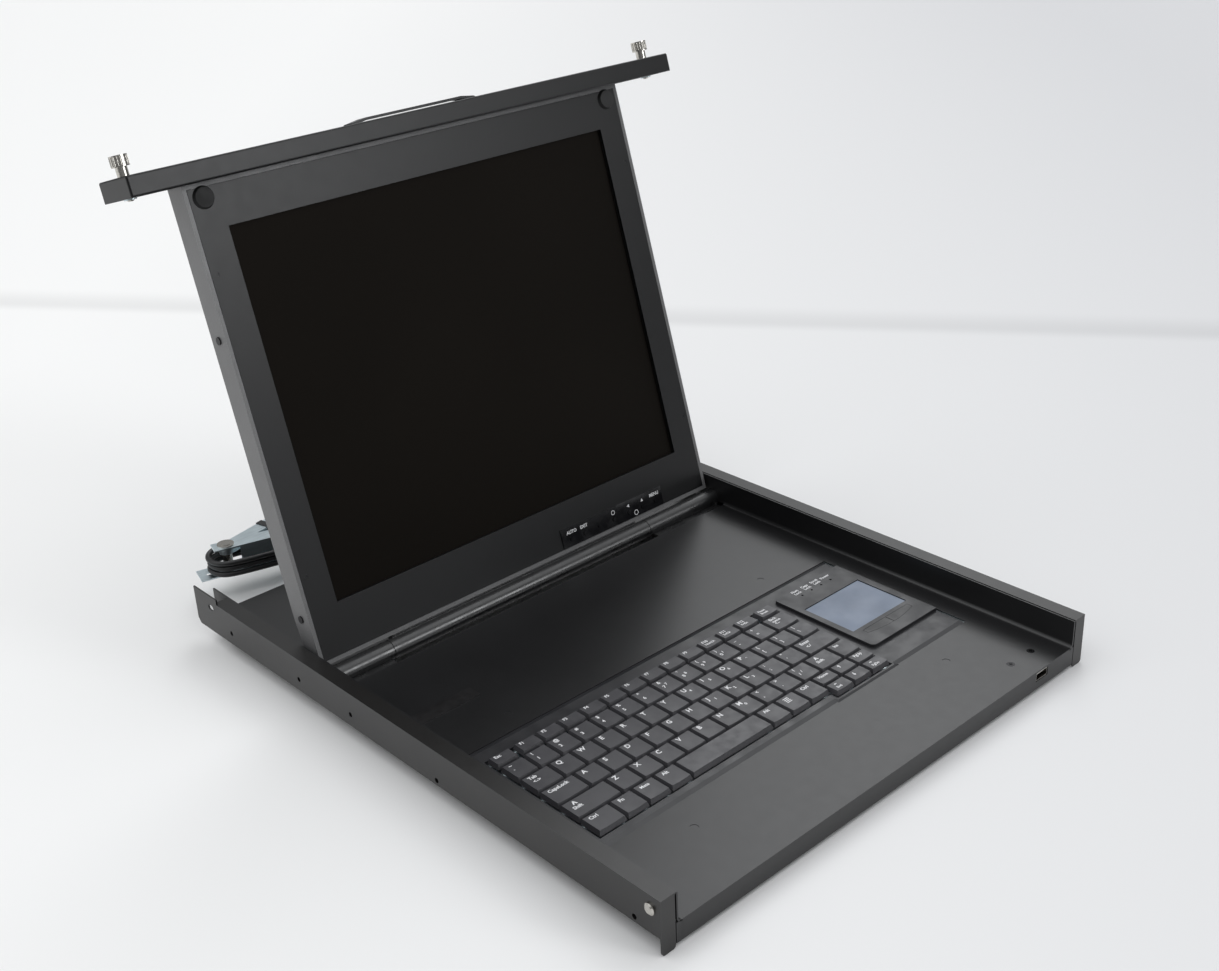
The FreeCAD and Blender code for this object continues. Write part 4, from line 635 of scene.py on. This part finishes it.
# %% Key cells
PITCH = 19.2
KEYS_LEFT, KEYS_FRONT = -179.8, 85.7
KEYS_RIGHT = KEYS_LEFT + 14.25 * PITCH
KEY_TOP, KEY_DISH = 21.3, 0.35
HALF_ROW, ROW_GAP, LOWER_DROP = 12.7, 1.0, 6.2
CAP_MARGIN = 1.65
PRINT_LIFT = 0.04
legends = {name: [] for name in KEY_GROUPS}


def row_front(row):
    return KEYS_FRONT + row * PITCH


def legend(group, left, width, rear, text, size=3.6, dx=4.6, dy=-5.4):
    """Add one legend to a key whose cell starts at left and ends at rear."""
    item = {"shape": letters(text, size), "x": left + dx, "y": rear + dy,
            "middle": left + width * PITCH / 2, "half": width * PITCH / 2 - CAP_MARGIN}
    legends[group].append(item)


def key_row(left, rear, keys):
    """Walk along a row of (group, width, [(text, size, dx, dy), ...])."""
    x = left
    for group, width, marks in keys:
        for text, size, dx, dy in marks:
            legend(group, x, width, rear, text, size, dx, dy)
        x += width * PITCH


# %% [markdown]
# The caps of the top row are less deep than the others, so their print is small. Twelve
# function keys stand between the two outer keys, and the spare width is shared between
# both sides.

# %% Function keys
SMALL_PRINT = 2.5
top_rear = row_front(5) + ROW_GAP + HALF_ROW
key_row(KEYS_LEFT, top_rear, [("function_keys", 1, [("Esc", 3.2, 4.4, -4.6)])])
second_lines = {10: "NumLk", 11: "ScrLk", 12: "PrtSc"}
spare = (14.25 - 14) * PITCH / 2
for number in range(1, 13):
    marks = [("F%d" % number, 3.0, 4.4, -4.4)]
    if number in second_lines:
        marks.append((second_lines[number], SMALL_PRINT, 4.4, -7.6))
    key_row(KEYS_LEFT + spare + number * PITCH, top_rear, [("function_keys", 1, marks)])
key_row(KEYS_RIGHT - PITCH, top_rear,
        [("function_keys", 1, [("Pause", SMALL_PRINT, 4.4, -4.4),
                                ("Break", SMALL_PRINT, 4.4, -7.6)])])
print("function legends", len(legends["function_keys"]))


# %% [markdown]
# A key carries a capital, a pair of signs or a word, and some have a keypad sign too.
# Capitals and pairs stand at the same places on every cap, so one helper for each kind
# knows them. Words are placed one by one.


# %% Kinds of legend
def pair(upper, lower, extra=""):
    """Shifted sign above, plain sign below, keypad sign at the lower right."""
    marks = [(upper, 3.4, 4.8, -5.0), (lower, 3.4, 4.8, -11.4)]
    if extra:
        marks.append((extra, 2.8, 8.4, -9.2))
    return marks


KEYPAD = {"U": "4", "I": "5", "O": "6", "P": "*", "J": "1", "K": "2", "L": "3", "M": "0"}


def capital(letter):
    """A capital, with its keypad sign at the lower right where it has one."""
    marks = [(letter, 4.4, 4.6, -6.0)]
    if letter in KEYPAD:
        marks.append((KEYPAD[letter], 2.8, 9.2, -8.4))
    return marks


def letter_keys(group, word):
    """Keys one unit wide, one for each letter of word."""
    return [(group, 1, capital(letter)) for letter in word]


def sign_keys(group, *sign_pairs):
    """Keys one unit wide, one for each pair of signs."""
    return [(group, 1, pair(*signs)) for signs in sign_pairs]


def plain_keys(*marks):
    """Keys one unit wide with one legend or none."""
    return [("modifier_keys", 1, [mark] if mark else []) for mark in marks]


# %% [markdown]
# With those helpers each row reads from left to right like the keyboard itself.

# %% Rows of keys
number_signs = (("~", "`"), ("!", "1"), ("@", "2"), ("#", "3"), ("$", "4"), ("%", "5"),
                ("^", "6"), ("&", "7", "7"), ("*", "8", "8"), ("(", "9", "9"), (")", "0", "/"),
                ("_", "-"), ("+", "="))
backspace = [("Back", 3.0, 6.0, -4.8), ("space", 3.0, 6.0, -8.0), ("<--", 3.0, 6.0, -11.2)]
key_row(KEYS_LEFT, row_front(5),
        sign_keys("number_keys", *number_signs) + [("backspace_key", 1.25, backspace)])
key_row(KEYS_LEFT, row_front(4),
        [("tab_key", 1.25, [("Tab", 3.4, 5.0, -5.4), ("<->", 3.4, 5.6, -9.8)])]
        + letter_keys("upper_letter_keys", "QWERTYUIOP")
        + sign_keys("upper_letter_keys", ("{", "["), ("}", "]"), ("|", "\\")))
key_row(KEYS_LEFT, row_front(3),
        [("caps_lock_key", 1.5, [("CapsLock", 3.4, 4.8, -5.6)])]
        + letter_keys("home_letter_keys", "ASDFGHJKL")
        + sign_keys("home_letter_keys", (":", ";"), ("\"", "'"))
        + [("enter_key", 1.75, [("Enter", 3.4, 5.4, -5.6), ("<-'", 3.6, 6.6, -11.0)])])
key_row(KEYS_LEFT, row_front(2),
        [("shift_keys", 2, [("Shift", 3.4, 4.8, -10.4), ("^", 6.4, 7.4, -8.2)])]
        + letter_keys("lower_letter_keys", "ZXCVBNM")
        + sign_keys("lower_letter_keys", ("<", ","), (">", "."), ("?", "/", "/"))
        + [("shift_keys", 1.25, [("Shift", 3.2, 5.2, -10.4), ("^", 6.0, 7.2, -8.2)]),
           ("navigation_keys", 1, [("Ins", 3.2, 5.2, -5.4)])])
key_row(KEYS_LEFT, row_front(1),
        [("modifier_keys", 1.25, [("Ctrl", 3.4, 4.8, -5.6)])]
        + plain_keys(("Fn", 3.6, 5.4, -5.8), ("Meta", 3.0, 4.8, -5.6), ("Alt", 3.4, 5.2, -5.6))
        + [("space_bar", 4, [])]
        + plain_keys(("Alt", 3.4, 5.2, -5.6), None, ("Ctrl", 3.4, 5.0, -5.6)))
print("row legends", sum(len(items) for items in legends.values()))

# %% [markdown]
# The cursor keys stand at the right end of the front row, in two rows of their own. They
# reach a little further forward than the other keys, and the line between the two rows
# lies halfway.

# %% Cursor key words
cursor_left = KEYS_RIGHT - 3 * PITCH
cursor_split = (row_front(0) - LOWER_DROP + row_front(1)) / 2
for rear, marks in ((row_front(1), (("Home", 3.0, 5.0, -4.8), ("PgUp", 3.0, 5.0, -4.8))),
                    (cursor_split, (("End", 2.6, 5.2, -8.6), ("PgDn", 2.6, 5.2, -8.6)))):
    key_row(cursor_left, rear, [("navigation_keys", 1, [marks[0]]), ("navigation_keys", 1, []),
                                ("navigation_keys", 1, [marks[1]])])
print("legends", sum(len(items) for items in legends.values()))


# %% [markdown]
# Four arrows and a menu of four lines are drawn, not typed, so they look the same whatever
# typeface is installed. One arrow is drawn pointing up and turned for the other three.


# %% Arrows and the menu sign
def arrow_shape(turn, size=2.6):
    """A small arrow with a shaft; turn 0 points up, then quarter turns to the left."""
    outline = [(-0.25, -1), (0.25, -1), (0.25, 0.1), (0.7, 0.1), (0, 1), (-0.7, 0.1), (-0.25, 0.1)]
    angle = math.radians(90.0 * turn)
    cosine, sine = math.cos(angle), math.sin(angle)
    turned = [(x * cosine - y * sine, x * sine + y * cosine) for x, y in outline]
    return polygon_shape([(x * size / 2, y * size / 2) for x, y in turned])


def sign(group, left, dx, y, shape):
    """Add one drawn sign, dx from the left side of its key's cell."""
    legends[group].append({"shape": shape, "x": left + dx, "y": y, "middle": left + PITCH / 2,
                           "half": PITCH / 2 - CAP_MARGIN})


sign("navigation_keys", cursor_left + PITCH, 7.4, row_front(1) - 3.9, arrow_shape(0, 3.6))
sign("navigation_keys", cursor_left + PITCH, 7.4, cursor_split - 5.0, arrow_shape(2, 3.6))
sign("navigation_keys", cursor_left, 7.6, cursor_split - 3.8, arrow_shape(1))
sign("navigation_keys", cursor_left + 2 * PITCH, 7.6, cursor_split - 3.8, arrow_shape(3))
menu_left = KEYS_LEFT + (1.25 + 3 + 4 + 1) * PITCH
menu_line = polygon_shape([(-2.4, -0.35), (2.4, -0.35), (2.4, 0.35), (-2.4, 0.35)])
for line in range(4):
    sign("modifier_keys", menu_left, 8.4, row_front(1) - 3.6 - 1.5 * line, menu_line)
print("legends and signs", sum(len(items) for items in legends.values()))


# %% [markdown]
# A cap's top is a shallow trough, lowest along its middle. A shrinkwrap modifier could
# press the legends on, but the trough is so shallow that a parabola matches it, and one
# line of arithmetic puts every point at its height.


# %% Lay the legends in the dishes
def on_cap(x, y, item):
    """A legend point on the dished top of its cap."""
    across = (x - item["middle"]) / item["half"]
    sink = KEY_DISH * (1 - min(1.0, across * across))
    return at(x, y, KEY_TOP - sink + PRINT_LIFT)


for group, items in legends.items():
    if items:
        print_piece("legend_" + group, "body_" + group, items, on_cap)

# %% [markdown]
# The touchpad block has four lamp holes with labels behind them. The block is level, so
# the print only needs one height, a hair above it.

# %% Touchpad labels
PAD_TOP, PAD_PRINT_LIFT = 20.7, 0.03
pad_top = PAD_TOP + PAD_PRINT_LIFT
words = (("Num", "Lock"), ("Caps", "Lock"), ("Scroll", "Lock"), ("Power", ""))
labels = []
for x, (upper, lower) in zip((121.7, 132.8, 143.8, 154.8), words):
    labels.append({"shape": letters(upper, 2.9, "CENTER"), "x": x, "y": 192.0 if lower else 190.4})
    if lower:
        labels.append({"shape": letters(lower, 2.9, "CENTER"), "x": x, "y": 188.6})
print_piece("touchpad_labels", "tray", labels, lambda x, y, item: at(x, y, pad_top))
print("touchpad labels", len(labels))

# %% [markdown]
# The strip under the screen names its buttons with words and small signs. It leans back
# with the screen, so its points are given from the hinge axis and turned by the tilt.

# %% Strip labels
HINGE = (354.0, 19.6)
TILT = math.radians(16.0)
FACE, STRIP_SINK = 2.3, 0.8


def on_display(x, back, up):
    """A point given from the hinge axis, in the raised screen's own directions."""
    y = HINGE[0] + back * math.cos(TILT) + up * math.sin(TILT)
    z = HINGE[1] - back * math.sin(TILT) + up * math.cos(TILT)
    return at(x, y, z)


strip_prints = []
for word, x in (("AUTO", 45.4), ("EXIT", 58.6), ("MENU", 137.4)):
    strip_prints.append({"shape": letters(word, 3.1, "CENTER"), "x": x, "y": 22.8})
triangle = polygon_shape([(1.3, -1.4), (1.3, 1.4), (-1.4, 0.0)])
strip_prints += [
    {"shape": ring_shape(1.7, 0.5), "x": 90.8, "y": 23.9},
    {"shape": triangle, "x": 107.6, "y": 23.8},
    {"shape": polygon_shape([(-1.3, -1.2), (1.3, -1.2), (0.0, 1.3)]), "x": 123.4, "y": 23.8},
    {"shape": ring_shape(2.0, 0.5), "x": 115.0, "y": 15.8},
]
print_piece("strip_labels", "display", strip_prints,
            lambda x, y, item: on_display(x, FACE - STRIP_SINK - PAD_PRINT_LIFT, y))
print("strip labels", len(strip_prints))

# %% [markdown]
# ## Studio
# The bench is a wide pale sheet. A real studio sheet curves up behind the object. A flat
# one is simpler and has no front or back, so the drawer can be seen from any side. The
# model stands a hair above it.

# %% Bench
BENCH_HALF = 60.0
bench_mesh = bpy.data.meshes.new("bench")
shape = bmesh.new()
bmesh.ops.create_grid(shape, x_segments=1, y_segments=1, size=BENCH_HALF)
shape.to_mesh(bench_mesh)
shape.free()
bench = bpy.data.objects.new("bench", bench_mesh)
bench.location = (0.0, 0.0, cad_box[0][2] - 0.0002)
bpy.context.scene.collection.objects.link(bench)
print("bench at height", round(bench.location.z, 4))


# %% [markdown]
# The sheet and the sky are both shaded by direction, so two helpers measure how far a point
# lies along a direction and fade smoothly between two such distances.


# %% Fades
def along(tree, where, direction):
    """Distance of a surface point along a direction, in metres."""
    node = tree.nodes.new("ShaderNodeVectorMath")
    node.operation = "DOT_PRODUCT"
    tree.links.new(where, node.inputs[0])
    node.inputs[1].default_value = direction
    return node.outputs["Value"]


def spread(tree, value, low, high, out_low=0.0, out_high=1.0):
    """Smooth step of a value from low to high."""
    node = tree.nodes.new("ShaderNodeMapRange")
    node.interpolation_type = "SMOOTHSTEP"
    node.inputs["From Min"].default_value = low
    node.inputs["From Max"].default_value = high
    node.inputs["To Min"].default_value = out_low
    node.inputs["To Max"].default_value = out_high
    tree.links.new(value, node.inputs["Value"])
    return node.outputs["Result"]


# %% [markdown]
# The paper is a pale sheet with painted light: lighter on the left and darker on the right,
# where the light falls off. A painted shade line with a soft edge lies where a fold behind the
# drawer would be, so it is drawn in the material and the mesh stays flat. FOLD_NORMAL points
# across the fold, and FOLD is its distance from the model's origin that way.

# %% Bench paper
FOLD_NORMAL = (0.806, 0.592, 0.0)
FOLD = 0.7555
FOLD_WIDTH = 0.030
PAPER_LIT_LEFT, PAPER_SHADED_RIGHT = (0.885, 0.880, 0.870), (0.640, 0.640, 0.652)
bench_material, tree, shader, where = start_material("bench_paper")
right = along(tree, where, (0.7314, -0.6819, 0.0))
# Painted light: the paper's colour fades from lit on the left to shaded on the right.
tone = ramp(tree, spread(tree, right, -1.3, 1.3), PAPER_LIT_LEFT, PAPER_SHADED_RIGHT, 0.12, 0.95)
away = along(tree, where, FOLD_NORMAL)
near_side = spread(tree, away, FOLD - FOLD_WIDTH, FOLD, 1.0, 0.0)
far_side = spread(tree, away, FOLD, FOLD + 2 * FOLD_WIDTH, 0.0, 1.0)
beyond = tree.nodes.new("ShaderNodeMath")
beyond.operation = "MAXIMUM"
tree.links.new(near_side, beyond.inputs[0])
tree.links.new(far_side, beyond.inputs[1])
# Painted shade: the paper's colour is darkened along a soft line at the fold.
painted_fold_shade = ramp(tree, beyond.outputs["Value"], 0.88, 1.0, 0.0, 1.0)
fold_shaded_paper = tree.nodes.new("ShaderNodeMix")
fold_shaded_paper.data_type = "RGBA"
fold_shaded_paper.blend_type = "MULTIPLY"
fold_shaded_paper.inputs["Factor"].default_value = 1.0
tree.links.new(tone, fold_shaded_paper.inputs["A"])
tree.links.new(painted_fold_shade, fold_shaded_paper.inputs["B"])
tree.links.new(fold_shaded_paper.outputs["Result"], shader.inputs["Base Color"])
shader.inputs["Roughness"].default_value = 0.6
shader.inputs["Specular IOR Level"].default_value = 0.2
bump(tree, shader, noise(tree, where, 30.0, 2.0), 0.05, 0.2)
bench_mesh.materials.append(bench_material)
print("fold", FOLD, "m behind the origin")

# %% [markdown]
# All light comes from the sky of the studio: a dim room, a bright ceiling, two soft boxes
# and a faint glow on the left. One box stands far behind on the right and makes the tray
# floor and the keys shine. The other stands in front on the right and draws the sheen along
# the panel's top. Lamps could do this too, but a sky has nothing that stands in the way when
# the drawer is seen from another side.

# %% Sky
world = bpy.data.worlds.new("studio_world")
bpy.context.scene.world = world
world.use_nodes = True
tree = world.node_tree
tree.nodes.clear()
where = tree.nodes.new("ShaderNodeTexCoord").outputs["Generated"]


def soft_box(azimuth, elevation, edge, core, power):
    """Glow around one direction of the sky, full inside core degrees, none past edge."""
    angles = math.radians(azimuth), math.radians(elevation)
    direction = (math.cos(angles[0]) * math.cos(angles[1]),
                 math.sin(angles[0]) * math.cos(angles[1]), math.sin(angles[1]))
    facing = along(tree, where, direction)
    low, high = math.cos(math.radians(edge)), math.cos(math.radians(core))
    return spread(tree, facing, low, high, 0.0, power)


# %% [markdown]
# The parts of the sky are simply added, and a slightly cool white gives them one colour.


# %% Light
def total(values):
    """Sum of several outputs."""
    result = values[0]
    for value in values[1:]:
        node = tree.nodes.new("ShaderNodeMath")
        node.operation = "ADD"
        tree.links.new(result, node.inputs[0])
        tree.links.new(value, node.inputs[1])
        result = node.outputs["Value"]
    return result


room = soft_box(0.0, 90.0, 100.0, 60.0, 0.35)
ceiling = soft_box(0.0, 90.0, 52.0, 38.0, 1.10)
back_box = soft_box(36.0, 39.0, 17.0, 4.0, 2.7)
front_box = soft_box(-63.0, 20.0, 13.0, 4.0, 7.5)
left_glow = soft_box(150.0, 30.0, 40.0, 15.0, 0.7)
lit = tree.nodes.new("ShaderNodeBackground")
lit.inputs["Color"].default_value = (0.97, 0.985, 1.0, 1.0)
tree.links.new(total([room, ceiling, back_box, front_box, left_glow]), lit.inputs["Strength"])
output = tree.nodes.new("ShaderNodeOutputWorld")
tree.links.new(lit.outputs["Background"], output.inputs["Surface"])
bpy.context.scene.view_settings.view_transform = "Standard"
print("world", world.name)
